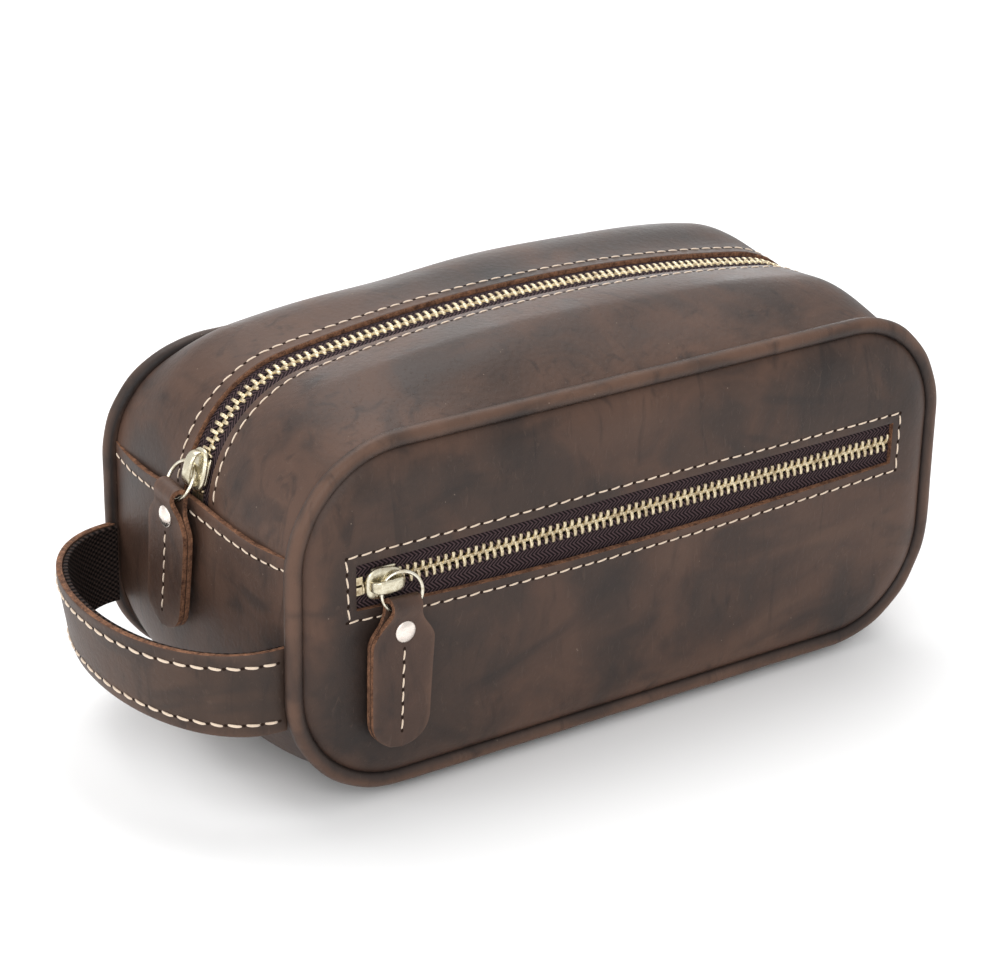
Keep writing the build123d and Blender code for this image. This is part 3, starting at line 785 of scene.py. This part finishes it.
def aged_brass(name, bright, dark, rough=0.30):
    """Antique brass: pale where it is rubbed, brown and dull in its hollows."""
    f = Finish(name)
    where = f.place()
    stain = f.noise(where, 420, 4.0, 0.6, 0.5)
    spots = f.noise(where, 1700, 3.0, 0.6)
    share = f.clamp(stain * 0.7 + spots * 0.3, 0.30, 0.62)
    colour = f.mix(dark, bright, share)
    scratch = f.noise(f.mapped(where, (1, 1, 0.15), (0.7, 0.2, 0.5)), 3000, 2.0)
    gloss = rough + (1 - share) * 0.22 + (scratch - 0.5) * 0.15
    return f.paint(colour, gloss, spots + scratch * 0.4, 0.00005, 1.0)


tooth_brass = aged_brass("tooth_brass", (0.76, 0.66, 0.46), (0.36, 0.27, 0.16))
slider_brass = aged_brass("slider_brass", (0.74, 0.69, 0.54), (0.50, 0.44, 0.31), 0.24)
ring_brass = aged_brass("ring_brass", (0.82, 0.78, 0.66), (0.55, 0.48, 0.34), 0.22)


def main_track(distance):
    """Origins, across, out and along directions on the top zip, at distances along it."""
    place, out = zip_arch.at(zip_arch.share(distance, zip_depth))
    across = np.broadcast_to([0.0, 1.0, 0.0], place.shape)
    along = np.cross(across, out)
    return place - out * zip_depth, across, out, along


def pocket_track(distance):
    """The same for the pocket zip, whose distances are simply X."""
    place = np.stack([distance, 0 * distance - (face_y - zip_depth), 0 * distance + pocket_z], -1)
    across = np.broadcast_to([0.0, 0.0, 1.0], place.shape)
    out = np.broadcast_to([0.0, -1.0, 0.0], place.shape)
    return place, across, out, np.broadcast_to([1.0, 0.0, 0.0], place.shape)


def tape(name, track, start, end, side, width, stands_for):
    """One tape: a strip from the teeth outwards, with a corded edge in the form of a bell."""
    distance = np.linspace(start, end, 220)
    origin, across, out, _ = track(distance)
    reach = np.linspace(1.5 * mm, width, 24)
    bead = 0.35 * mm * np.exp(-(((reach - 2.2 * mm) / (0.7 * mm)) ** 2))
    points = (
        origin[:, None, :]
        + side * reach[None, :, None] * across[:, None, :]
        + bead[None, :, None] * out[:, None, :]
    )
    uv = np.stack(np.broadcast_arrays(distance[:, None], side * reach[None, :] + 0.1), -1)
    sheet_mesh(name, points, tape_cloth, "bag", stands_for, uv=uv, flip=side < 0, thick=0.6 * mm)


main_end = zip_arch.length(zip_depth)
tape("top_tape_front", main_track, 0.0, main_end, -1, tape_reach, ["main_zip_tape_front"])
tape("top_tape_back", main_track, 0.0, main_end, 1, tape_reach, ["main_zip_tape_back"])
pocket_ends = window_left - 4 * mm, window_right + 4 * mm
tape("pocket_tape_upper", pocket_track, *pocket_ends, 1, 13 * mm, ["pocket_zip_tape_upper"])
tape("pocket_tape_lower", pocket_track, *pocket_ends, -1, 13 * mm, ["pocket_zip_tape_lower"])


def bent(value, power):
    """A value raised to a power, with its sign kept."""
    return np.sign(value) * np.abs(value) ** power


def pebble(half, power, rows=7, columns=8):
    """A rounded block: a sphere's grid with each sine and cosine raised to a power."""
    rise = np.radians(np.linspace(-89, 89, rows))[:, None]
    turn = np.linspace(0, 2 * np.pi, columns, endpoint=False)[None, :]
    x = half[0] * bent(np.cos(rise), power) * bent(np.cos(turn + np.pi / columns), power)
    y = half[1] * bent(np.cos(rise), power) * bent(np.sin(turn + np.pi / columns), power)
    z = half[2] * bent(np.sin(rise), power) * np.ones_like(turn)
    return np.stack([x, y, z], -1)


def scattered(name, shapes, track_frames, finish, body, stands_for):
    """Many copies of a few small closed shapes in one mesh. A shape's x is laid across,
    its y along and its z out from each frame's origin."""
    origin, across, out, along = track_frames
    vertices, faces, count = [], [], 0
    for shape in shapes:
        rows, columns = shape.shape[:2]
        local = shape.reshape(-1, 3)
        placed = (
            origin[:, None, :]
            + local[None, :, 0, None] * across[:, None, :]
            + local[None, :, 1, None] * along[:, None, :]
            + local[None, :, 2, None] * out[:, None, :]
        )
        quads = quad_grid(rows, columns).reshape(-1, 4)
        for k in range(len(origin)):
            base = count + k * rows * columns
            faces += (quads + base).tolist()
            faces.append([base + i for i in range(columns)][::-1])
            faces.append([base + (rows - 1) * columns + i for i in range(columns)])
        vertices.append(placed.reshape(-1, 3))
        count += len(origin) * rows * columns
    place_on(smooth_piece(name, np.concatenate(vertices), faces, finish), body, stands_for)


def zip_tooth(side):
    """A tooth in three rounded blocks: legs crimped over the tape's edge, a neck, and a
    head that reaches just past the zip's middle."""
    legs = pebble((1.25 * mm, 0.60 * mm, 1.45 * mm), 0.35) + [side * 1.80 * mm, 0, 0]
    neck = pebble((1.05 * mm, 0.66 * mm, 1.15 * mm), 0.4) + [side * 0.80 * mm, 0, 0]
    head = pebble((0.66 * mm, 0.84 * mm, 0.90 * mm), 0.6) + [side * 0.02 * mm, 0, 0]
    return [legs, neck, head]


main_radius = zip_arch.corner - zip_depth
slider_half = 6.25 * mm
first_tooth = main_radius * np.arcsin((yoke_z + 2.4 * mm - bend.z) / main_radius)
for side, word in ((-1, "front"), (1, "back")):
    start = first_tooth + (tooth_pitch / 2 if side > 0 else 0)
    places = np.arange(start, main_end - 4 * mm, tooth_pitch)
    scattered(f"top_teeth_{word}", zip_tooth(side), main_track(places), tooth_brass, "bag",
              [f"main_zip_teeth_{word}"])
for side, word in ((-1, "lower"), (1, "upper")):
    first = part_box(f"pocket_zip_teeth_{word}")[0].x + 0.65 * mm
    places = np.arange(first, window_right - 0.5 * mm, tooth_pitch)
    scattered(f"pocket_teeth_{word}", zip_tooth(side), pocket_track(places), tooth_brass, "bag",
              [f"pocket_zip_teeth_{word}"])

# ------------------------------------------------------------------ sliders
# Two cast brass sliders: a domed top plate that is broad at its mouth, a bottom plate,
# rails that turn round the tapes, the post that parts the teeth, and an arched bridge.
slider_length = 13.0 * mm
plate_low, plate_thick = 1.85 * mm, 1.25 * mm


def slab(low, thick, broad, narrow, dome):
    """A plate with rounded ends: superellipse rings of shrinking size, stacked upwards.
    Its half width goes from broad at the mouth to narrow at the other end, by the power
    1.4 of the way along."""
    turn = np.linspace(0, 2 * np.pi, 40, endpoint=False)
    along = -slider_length / 2 * bent(np.cos(turn), 0.75)
    share = (along / slider_length + 0.5) ** 1.4
    across = (broad + (narrow - broad) * share) * bent(np.sin(turn), 0.62)
    size = np.array([0.90, 0.98, 1.0, 1.0, 0.97, 0.90, 0.72, 0.45, 0.15])
    height = np.array([0.0, 0.06, 0.22, 0.62, 0.84, 0.97, 1.0, 1.0, 1.0]) * thick
    height = height + dome * np.clip(1 - size**2, 0, 1) * (np.arange(9) > 4)
    rows = [np.stack([across * k, along * k, low + h + 0 * along], -1) for k, h in zip(size, height)]
    return np.stack(rows)


def arched_bar(width, span, foot, rise, thick):
    """The bridge: an oval arch from the plate's mouth end to its other end, with a rounded
    oblong section that is widest at the crown."""
    turn = np.linspace(np.pi, 0, 25)
    along = span * bent(np.cos(turn), 0.75)
    height = foot + rise * np.abs(np.sin(turn)) ** 0.55
    slope = np.arctan2(np.gradient(height), np.gradient(along))
    around = np.linspace(0, 2 * np.pi, 16, endpoint=False)
    flare = 0.82 + 0.30 * np.sin(turn)
    side = width * bent(np.cos(around), 0.5)
    lift = thick * bent(np.sin(around), 0.6)
    return np.stack(
        [
            -flare[:, None] * side[None, :],
            along[:, None] - np.sin(slope)[:, None] * lift[None, :],
            height[:, None] + np.cos(slope)[:, None] * lift[None, :],
        ],
        -1,
    )


def slider_shapes():
    """A slider's closed shapes, laid across, along and out from the tapes' middle."""
    shapes = [
        slab(plate_low, plate_thick, 5.3 * mm, 3.9 * mm, 0.35 * mm),
        slab(-3.35 * mm, 1.15 * mm, 5.2 * mm, 3.9 * mm, 0.0),
        pebble((0.3 * mm, 1.3 * mm, 2.3 * mm), 0.6) + [0, -4.4 * mm, 0],
        arched_bar(1.9 * mm, 5.1 * mm, plate_low + 0.7 * mm, 3.6 * mm, 0.62 * mm),
    ]
    for side in (-1, 1):
        for middle, half in ((1.45 * mm, 0.55 * mm), (-1.75 * mm, 0.75 * mm)):
            shapes.append(pebble((0.55 * mm, 4.3 * mm, half), 0.5, 9, 12) + [side * 4.25 * mm, 0, middle])
    return shapes


main_at = first_tooth + slider_half
scattered("top_slider", slider_shapes(), main_track(np.array([main_at])), slider_brass,
          "main_slider", ["main_slider"])
scattered("front_slider", slider_shapes(), pocket_track(np.array([pocket_middle.x])), slider_brass,
          "pocket_slider", ["pocket_slider"])

# ------------------------------------------------------------------ zip pulls
# Each pull is a strip of leather folded over a wire ring, riveted under the fold and sewn
# down its middle. Its two plies have bare cut edges and a rounded end.
pull_tones = [
    (0.28, (0.030, 0.017, 0.012)),
    (0.46, (0.056, 0.030, 0.021)),
    (0.60, (0.076, 0.042, 0.029)),
    (0.75, (0.092, 0.054, 0.039)),
]
pull_leather = waxed_leather("pull_leather", pull_tones, (0.135, 0.072, 0.046), 0.5, 1.2)
pull_long = 43 * mm
ply_out = 1.65 * mm        # from a pull's middle to its outer face, where it is sewn
fold_out = 3.2 * mm
fold_rise = 2.2 * mm
rivet_drop = 5.5 * mm


def pull_half_width(drop):
    """Half a pull's width at a depth below the ring: a neck, shoulders in an S-curve, a
    slight taper and a round end."""
    shoulder = np.clip((drop + 1.5 * mm) / (11 * mm), 0, 1)
    width = 5.0 * mm + 5.75 * mm * shoulder**2 * (3 - 2 * shoulder)
    width = width - 0.7 * mm * np.clip((drop - 12 * mm) / (24 * mm), 0, 1)
    tip = np.clip((drop - (pull_long - 9.5 * mm)) / (9.5 * mm), 0, 1)
    return width * np.sqrt(np.maximum(1 - tip**2.3, 0.0008))


def leaning(across, lean):
    """A pull's across and up directions, turned so that its tip leans aside."""
    turn, up_here = np.radians(lean), np.array([0.0, 0.0, 1.0])
    return across * np.cos(turn) + up_here * np.sin(turn), up_here * np.cos(turn) - across * np.sin(turn)


def pull_out(drop, sense, curl):
    """How far a ply's outer face lies from a pull's middle: parted at the fold, pressed
    together from the rivet down, and curled a little off the bag at the tip."""
    pinch = np.clip((4.2 * mm - drop) / (4.2 * mm + fold_rise), 0, 1)
    half = ply_out + (fold_out - ply_out) * pinch**2 * (3 - 2 * pinch)
    return sense * half + curl * (np.clip(drop, 0, None) / pull_long) ** 2


def pull(name, hang, directions, front, body, stands_for, curl):
    """A folded strap: its outer face runs up the front ply, over a half circle and down
    the back ply."""
    across, above = directions
    falling = (pull_long + fold_rise) * (1 - np.linspace(0, 1, 60) ** 1.5)[:-1] - fold_rise
    over = np.radians(np.linspace(0, 180, 17))
    out = np.concatenate(
        [pull_out(falling, 1, curl), fold_out * np.cos(over), pull_out(falling[::-1], -1, curl)]
    )
    drop = np.concatenate([falling, -fold_rise - fold_out * np.sin(over), falling[::-1]])
    share = np.sin(np.radians(np.linspace(-90, 90, 19)))
    width = pull_half_width(np.clip(drop, -fold_rise, pull_long - 0.01 * mm))
    cup = 0.30 * mm * share**2 * np.clip(drop[:, None] / (20 * mm), 0, 1)
    points = (
        hang
        + (width[:, None] * share[None, :])[..., None] * across
        + (out[:, None] - cup)[..., None] * front
        - drop[:, None, None] * above
    )
    near_edge = np.abs(share[None, :]) ** 6
    rub = 0.30 + 0.6 * near_edge + 0.5 * np.exp(-np.abs(drop[:, None]) / (4 * mm))
    sheet_mesh(name, points, pull_leather, body, stands_for, marks={"rub": rub},
               thick=1.55 * mm, edge=raw_edge, soften=0.3 * mm)


def hang_point(node):
    """Where a pull's ring wire passes through its fold."""
    joint = next(j for j in frame["joints"] if j["child"] == node)
    return np.array(joint["pos_m"])


main_hang, pocket_hang = hang_point("main_tab"), hang_point("pocket_tab")
to_y, to_x = np.array([0.0, 1.0, 0.0]), np.array([1.0, 0.0, 0.0])
main_turned, pocket_turned = leaning(-to_y, -5.0), leaning(to_x, -2.4)
main_curl, pocket_curl = 0.8 * mm, 0.9 * mm
pull("top_pull", main_hang, main_turned, -to_x, "main_tab", ["main_pull_tab"], main_curl)
pull("front_pull", pocket_hang, pocket_turned, -to_y, "pocket_tab", ["pocket_pull_tab"], pocket_curl)

# The rivets are pale nickel, with the same low dome and rolled rim on both sides.
rivet_nickel = aged_brass("rivet_nickel", (0.88, 0.80, 0.73), (0.80, 0.70, 0.63), 0.22)


def rivet_dome():
    """A dome turned about its axis: rings that shrink as they rise, over a rolled rim."""
    turn = np.linspace(0, 2 * np.pi, 32, endpoint=False)
    rings = [(3.1, -0.3), (3.45, 0.0), (3.5, 0.28), (3.3, 0.52), (3.05, 0.62), (2.6, 0.86),
             (1.9, 1.08), (1.1, 1.2), (0.3, 1.24)]
    return np.stack([np.stack([r * np.cos(turn), r * np.sin(turn), h + 0 * turn], -1) for r, h in rings]) * mm


def rivets(name, hang, directions, front, body, stands_for):
    across, above = directions
    for word, sense, node in (("head", 1, 0), ("cap", -1, 1)):
        origin = hang - above * rivet_drop + front * sense * ply_out
        frames = [v[None, :] for v in (origin, across, front * sense, np.cross(front * sense, across))]
        scattered(f"{name}_{word}", [rivet_dome()], frames, rivet_nickel, body, [stands_for[node]])


rivets("top_rivet", main_hang, main_turned, -to_x, "main_tab", ["main_pull_rivet", "main_pull_rivet_cap"])
rivets("front_rivet", pocket_hang, pocket_turned, -to_y, "pocket_tab",
       ["pocket_pull_rivet", "pocket_pull_rivet_cap"])

# ------------------------------------------------------------------ strap
# A leather strip backed with coarse webbing, bowed out from one end wall. Both ends are
# caught in the seams beside the piping, and its lower edge is drawn in a little.
strap_tones = [
    (0.28, (0.024, 0.014, 0.010)),
    (0.46, (0.043, 0.024, 0.016)),
    (0.60, (0.060, 0.034, 0.023)),
    (0.75, (0.076, 0.044, 0.031)),
]
strap_leather = waxed_leather("strap_leather", strap_tones, (0.125, 0.068, 0.045), 0.45, 1.1)
strap_low, strap_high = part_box("strap_loop_leather")
strap_z = (strap_low.z + strap_high.z) / 2
strap_half = (strap_high.z - strap_low.z) / 2
strap_reach = -strap_low.x - end_x + 2.0 * mm
strap_start = end_x - 2.0 * mm


def strap_line(angle, level, inset):
    """The strap's plan: half an ellipse, a little longer at the back. Its reach shrinks
    towards the lower edge. Inset is the distance inside the outer face."""
    reach = strap_reach * (0.93 + 0.07 * level / strap_half) - inset
    half = np.where(angle < 0, 53.6 * mm, 55.2 * mm) - inset
    x = -strap_start - reach * np.abs(np.cos(angle)) ** 0.96
    y = half * np.sin(angle)
    return x, y


def strap_skin(angle, level, inset):
    """The strap's face: its plan at each level, with a slow wave up and down."""
    x, y = strap_line(angle, level, inset)
    wave = 0.5 * mm * np.sin(angle * 2.3 + 0.6)
    return np.stack([x, y, strap_z + level + wave], -1)


def bend_with_loop(piece):
    """Bakes a piece's transform into its mesh and leaves it at the origin."""
    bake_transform(piece)


def strap_band(name, half, inset, thick, finish, nodes, edge, uv_needed):
    """A band along the strap: its skin between two edges, which curl in a little."""
    angles, levels = np.radians(np.linspace(-90, 90, 150)), half * np.linspace(-1, 1, 24)
    angle, level = np.meshgrid(angles, levels, indexing="ij")
    roll = 0.35 * mm * np.abs(level / half) ** 8
    points = strap_skin(angle, level, inset + roll)
    step = np.linalg.norm(np.diff(points[:, 12], axis=0), axis=1)
    run = np.concatenate([[0], np.cumsum(step)])
    uv = np.stack(np.broadcast_arrays(run[:, None], level), -1) + 0.1 if uv_needed else None
    rub = 0.3 + 0.6 * np.abs(level / half) ** 6
    piece = sheet_mesh(name, points, finish, "bag", nodes, marks={"rub": rub}, uv=uv,
                       thick=thick, edge=edge, soften=0.35 * mm)
    piece.parent = None
    bend_with_loop(piece)


def webbing_cloth(name):
    """Coarse plain-woven webbing: thick yarns over and under, in a chequer."""
    f = Finish(name, Specular_IOR_Level=0.08)
    along, across = f.cloth_lines()
    weave = f.wave(across * 3600) * f.wave(along * 2500)
    fuzz = f.noise(f.place(), 1500, 3.0, 0.6)
    height = weave * 0.6 + (fuzz - 0.5) * 0.5
    colour = f.mix((0.004, 0.003, 0.003), (0.046, 0.031, 0.026), f.clamp(height, -0.5, 0.6))
    return f.paint(colour, 0.85 + (fuzz - 0.5) * 0.2, height, 0.0005)


webbing = webbing_cloth("webbing")
strap_band("strap_leather", strap_half, 0.0, 2.0 * mm, strap_leather,
           ["strap_loop_leather", "strap_root_leather"], raw_edge, False)
strap_band("strap_webbing", strap_half - 0.6 * mm, 2.05 * mm, 1.6 * mm, webbing,
           ["strap_loop_webbing", "strap_root_webbing"], None, True)

# ------------------------------------------------------------------ stitching
# Thick cream thread in a long lockstitch. Each stitch is a short raised length of thread
# that dives into the leather at both ends, and small dark discs between stitches paint the
# shade inside the needle holes.
stitch_pitch = 4.8 * mm
thread_r = 0.29 * mm


def cream_thread():
    """Two-ply waxed thread: the plies show as slanting ridges along it."""
    f = Finish("cream_thread", Specular_IOR_Level=0.35, Sheen_Weight=0.2)
    where = f.place()
    fuzz = f.noise(where, 2600, 3.0, 0.6)
    grime = f.noise(where, 120, 3.0, 0.6)
    colour = f.mix((0.72, 0.58, 0.45), (0.40, 0.29, 0.21), f.clamp(grime, 0.52, 0.80, 0.0, 0.5))
    colour = f.mix(colour, (0.25, 0.17, 0.11), f.clamp(fuzz, 0.58, 0.85, 0.0, 0.5))
    return f.paint(colour, 0.75 + (fuzz - 0.5) * 0.2, fuzz, 0.00025)


thread = cream_thread()
# Painted shade: a near-black finish for the discs at the needle holes.
needle_hole_shade = Finish("needle_hole_shade", Roughness=0.95, Specular_IOR_Level=0.05)
needle_hole_shade.shader.inputs["Base Color"].default_value = (0.020, 0.012, 0.009, 1)


def along_path(path, normals, distances):
    """Points, normals and headings at distances along a polyline."""
    run = np.concatenate([[0], np.cumsum(np.linalg.norm(np.diff(path, axis=0), axis=1))])
    place = np.stack([np.interp(distances, run, path[:, i]) for i in range(3)], -1)
    normal = np.stack([np.interp(distances, run, normals[:, i]) for i in range(3)], -1)
    ahead = np.stack([np.interp(distances + 0.4 * mm, run, path[:, i]) for i in range(3)], -1)
    behind = np.stack([np.interp(distances - 0.4 * mm, run, path[:, i]) for i in range(3)], -1)
    heading = ahead - behind
    heading /= np.linalg.norm(heading, axis=-1, keepdims=True)
    normal /= np.linalg.norm(normal, axis=-1, keepdims=True)
    return place, normal, heading


def stitches(name, path, normals, body, slant, seed, pitch=stitch_pitch, radius=thread_r):
    """A row of stitches. A stitch's middle line rises from its first hole, runs level and
    dives into the next, and it slants a little across the row."""
    dice = np.random.default_rng(seed)
    total = np.linalg.norm(np.diff(path, axis=0), axis=1).sum()
    count = max(int(round(total / pitch)), 1)
    pitch = total / count
    share = np.linspace(-1, 1, 9)
    starts = (np.arange(count) + 0.5) * pitch
    long = pitch * (0.375 + 0.02 * dice.standard_normal(count))
    distances = starts[:, None] + share[None, :] * long[:, None]
    place, normal, heading = along_path(path, normals, distances)
    side = np.cross(heading, normal)
    tilt = slant * (1 + 0.35 * dice.standard_normal(count))
    lift = radius * (1.05 * (1 - np.abs(share) ** 4) - 0.65)
    aside = share[None, :] * (long * tilt)[:, None]
    centre = place + normal * lift[None, :, None] + side * aside[..., None]
    around = np.linspace(0, 2 * np.pi, 8, endpoint=False)
    fat = radius * (0.70 + 0.30 * (1 - share**2))
    ring = side[:, :, None, :] * np.cos(around)[:, None] * 1.08
    ring = ring + normal[:, :, None, :] * np.sin(around)[:, None] * 0.85
    points = centre[:, :, None, :] + ring * fat[None, :, None, None]
    quads = quad_grid(9, 8).reshape(-1, 4)
    faces = (quads[None] + (np.arange(count) * 72)[:, None, None]).reshape(-1, 4).tolist()
    for k in range(count):
        faces.append([k * 72 + i for i in range(8)][::-1])
        faces.append([k * 72 + 64 + i for i in range(8)])
    # Painted shade: a flat dark disc at each needle hole, for the shade inside it.
    hole_at = np.arange(count + 1) * pitch
    hole, hole_normal, hole_heading = along_path(path, normals, np.clip(hole_at, 0.1 * mm, total - 0.1 * mm))
    hole_side = np.cross(hole_heading, hole_normal)
    disc = np.concatenate([[0], np.ones(8)])[:, None] * 0.62 * mm
    turn = np.concatenate([[0], around])[:, None]
    hole_points = (
        hole[:, None, :]
        + hole_heading[:, None, :] * (disc * np.cos(turn))[None]
        + hole_side[:, None, :] * (disc * np.sin(turn))[None] * 0.8
        + hole_normal[:, None, :] * np.where(disc > 0, 0.04 * mm, 0.10 * mm)[None]
    )
    first = count * 72
    for k in range(count + 1):
        base = first + k * 9
        faces += [[base, base + 1 + i, base + 1 + (i + 1) % 8] for i in range(8)]
    vertices = np.concatenate([points.reshape(-1, 3), hole_points.reshape(-1, 3)])
    piece = smooth_piece(name, vertices, faces, thread, needle_hole_shade.material)
    slots = np.zeros(len(faces), np.int32)
    slots[-8 * (count + 1) :] = 1
    piece.data.polygons.foreach_set("material_index", slots)
    if body == "strap_loop":
        bend_with_loop(piece)
    else:
        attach(piece, body)


def skin_row(skin, first, second, outwards):
    """A path on a surface given by two parameters, and the surface's normals along it,
    from the cross product of its two slopes."""
    step = 1e-4
    path = skin(first, second)
    du = skin(first + step, second) - path
    dv = skin(first, second + step) - path
    normals = np.cross(du, dv)
    normals /= np.linalg.norm(normals, axis=-1, keepdims=True)
    flip = np.sign((normals * outwards(path)).sum(-1, keepdims=True))
    return path, normals * flip


def from_core(path):
    """Directions out from the bag's long middle line."""
    x, y, z = path[..., 0], path[..., 1], path[..., 2]
    return path - np.stack([np.clip(x, -80 * mm, 80 * mm), 0 * y, 0 * z + 70 * mm], -1)


top_share = np.concatenate(
    [np.linspace(1.08, 2, 60)[:-1], np.linspace(2, 3, 200)[:-1], np.linspace(3, 3.92, 60)]
)
for side, word in ((-1, "front"), (1, "back")):
    reach = slot_half + 4.0 * mm + 0 * top_share
    path, normals = skin_row(lambda u, v: top_skin(side, u, v), top_share, reach, from_core)
    stitches(f"thread_top_{word}", path, normals, "bag", 0.10 * side, 3 + side)

yoke_across = np.linspace(-edge_y + 1.0 * mm, edge_y - 1.0 * mm, 120)


def end_skin(end):
    """The end wall's outer face, for a Y and a drop below the yoke's edge."""

    def skin(y, drop):
        share = (np.abs(y) / edge_y) ** 3.2
        x = end_x + (seam_x - 0.8 * mm - end_x) * share
        z = yoke_line(y, yoke_z - drop)
        return np.stack([end * (x + end_swell(y, z)), y, z], -1)

    return skin


for end, word in ((-1, "left"), (1, "right")):
    drop = 4.2 * mm + 0 * yoke_across
    path, normals = skin_row(end_skin(end), yoke_across, drop, from_core)
    stitches(f"thread_yoke_{word}", path, normals, "bag", 0.12, 7 + end)


def window_lines():
    """The sewn rectangle round the pocket window: four runs, 3 mm or so outside it."""
    left, right_side = window_left - 3.4 * mm, window_right + 2.8 * mm
    top = pocket_z + window_half + 3.0 * mm
    bottom = pocket_z - window_half - 3.1 * mm
    x = np.linspace(left, right_side, 240)
    side_z = np.linspace(bottom, top, 30)
    low_x = np.clip(x, window_left, window_right)
    return {
        "upper": (x, top + 0 * x),
        "lower": (x, bottom - lip_drop(low_x) * 0.93),
        "left": (left + 0.8 * mm * (top - side_z) / (top - bottom), side_z),
        "right": (right_side + 0 * side_z, side_z),
    }


for seed, (word, (x, z)) in enumerate(window_lines().items()):
    lift = 0.35 * mm * np.sin(np.pi * window_share(x)) * (word == "lower")
    path, normals = skin_row(lambda u, v: np.stack([u, -front_face(u, v) - lift, v], -1), x, z,
                             lambda p: np.array([0.0, -1.0, 0.0]))
    stitches(f"thread_window_{word}", path, normals, "bag", -0.10, 20 + seed)

strap_angle = np.radians(np.linspace(-86, 86, 200))
for level, word in ((strap_half - 4.2 * mm, "upper"), (-strap_half + 4.2 * mm, "lower")):
    levels = level + 0 * strap_angle
    path, normals = skin_row(lambda u, v: strap_skin(u, v, 0.0), strap_angle, levels, from_core)
    stitches(f"thread_strap_{word}", path, normals, "strap_loop", 0.13, 31, 5.4 * mm, 0.45 * mm)

pull_rows = (
    ("top", main_hang, main_turned, -to_x, "main_tab", main_curl),
    ("front", pocket_hang, pocket_turned, -to_y, "pocket_tab", pocket_curl),
)
for word, hang, (across, above), front, body, curl in pull_rows:
    drop = np.linspace(rivet_drop + 5.5 * mm, pull_long - 5 * mm, 60)
    for sense, face in ((1, "face"), (-1, "back")):
        path = hang + pull_out(drop, sense, curl)[:, None] * front - drop[:, None] * above
        normals = np.broadcast_to(front * sense, path.shape)
        stitches(f"thread_pull_{word}_{face}", path, normals, body, 0.10, 40, 4.4 * mm)

# ------------------------------------------------------------------ linings and filler cords
# Dark plain-woven cotton lines the bag and makes the pocket's pouch. The pipings are
# filled with twisted cotton cord.


def cotton(name, dark, pale, weave):
    """Plain cotton: fine crossed yarns over slow clouds of wear."""
    f = Finish(name, Specular_IOR_Level=0.2)
    where = f.place()
    yarns = f.cells(where, weave)
    clouds = f.noise(where, 30, 3.0, 0.6)
    colour = f.mix(dark, pale, f.clamp(yarns + (clouds - 0.5) * 0.6, 0.1, 0.9))
    return f.paint(colour, 0.9 + (clouds - 0.5) * 0.1, yarns, 0.0003)


lining_cotton = cotton("lining_cotton", (0.018, 0.014, 0.012), (0.055, 0.045, 0.039), 1600)
filler_cotton = cotton("filler_cotton", (0.42, 0.36, 0.28), (0.68, 0.61, 0.50), 900)


def filler_cord(name, side, stands_for):
    """Cord round the seam, inside the piping: its radius has three twisted lobes."""
    place, _, s, angle, ring = round_seam(side, 12)
    radius = 1.2 * mm * (1 + 0.08 * np.cos(3 * angle[None, :] + s[:, None] * 900))
    sheet_mesh(name, place + radius[..., None] * ring, filler_cotton, "bag",
               stands_for, (True, True), flip=side < 0)


def face_lining(name, side, stands_for):
    """The lining behind a face: the face's own grid, drawn in a little and laid flat."""
    x, z, _ = face_grid(window=False)
    z = (z - middle_z) * 0.94 + middle_z - (back_sink(z) if side > 0 else 0)
    points = np.stack([x * 0.97, 0 * x + side * (seam_y - 3.4 * mm), z], -1)
    sheet_mesh(name, points, lining_cotton, "bag", stands_for, flip=side > 0, thick=0.5 * mm)


def top_lining(name, side, stands_for):
    """The lining under a top piece: the piece's skin, moved in along its normals."""
    share, across = np.meshgrid(np.linspace(0.4, 4.6, 130), np.linspace(16, 51, 20) * mm, indexing="ij")
    skin, normals = skin_row(lambda u, v: top_skin(side, u, v), share, across, from_core)
    sheet_mesh(name, skin - normals * 2.9 * mm, lining_cotton, "bag", stands_for, flip=side > 0,
               thick=0.5 * mm)


for word, side in (("front", -1), ("back", 1)):
    filler_cord(f"filler_cord_{word}", side, [f"{word}_piping_cord"])
    face_lining(f"lining_{word}", side, [f"{word}_lining"])
    top_lining(f"lining_top_{word}", side, [f"top_lining_{word}"])

# ------------------------------------------------------------------ rings and stops
# The wire rings, the zips' stops, the base's lining and the pocket's pouch keep their own
# solid shapes and take the metals and the cotton.
carried = {
    "main_pull_ring": ring_brass,
    "pocket_pull_ring": ring_brass,
    "main_zip_stops": tooth_brass,
    "pocket_zip_stops": tooth_brass,
    "base_lining": lining_cotton,
    "pocket_pouch": lining_cotton,
}
for name, finish in carried.items():
    mesh = frame["nodes"][name].data
    mesh.materials.clear()
    mesh.materials.append(finish)
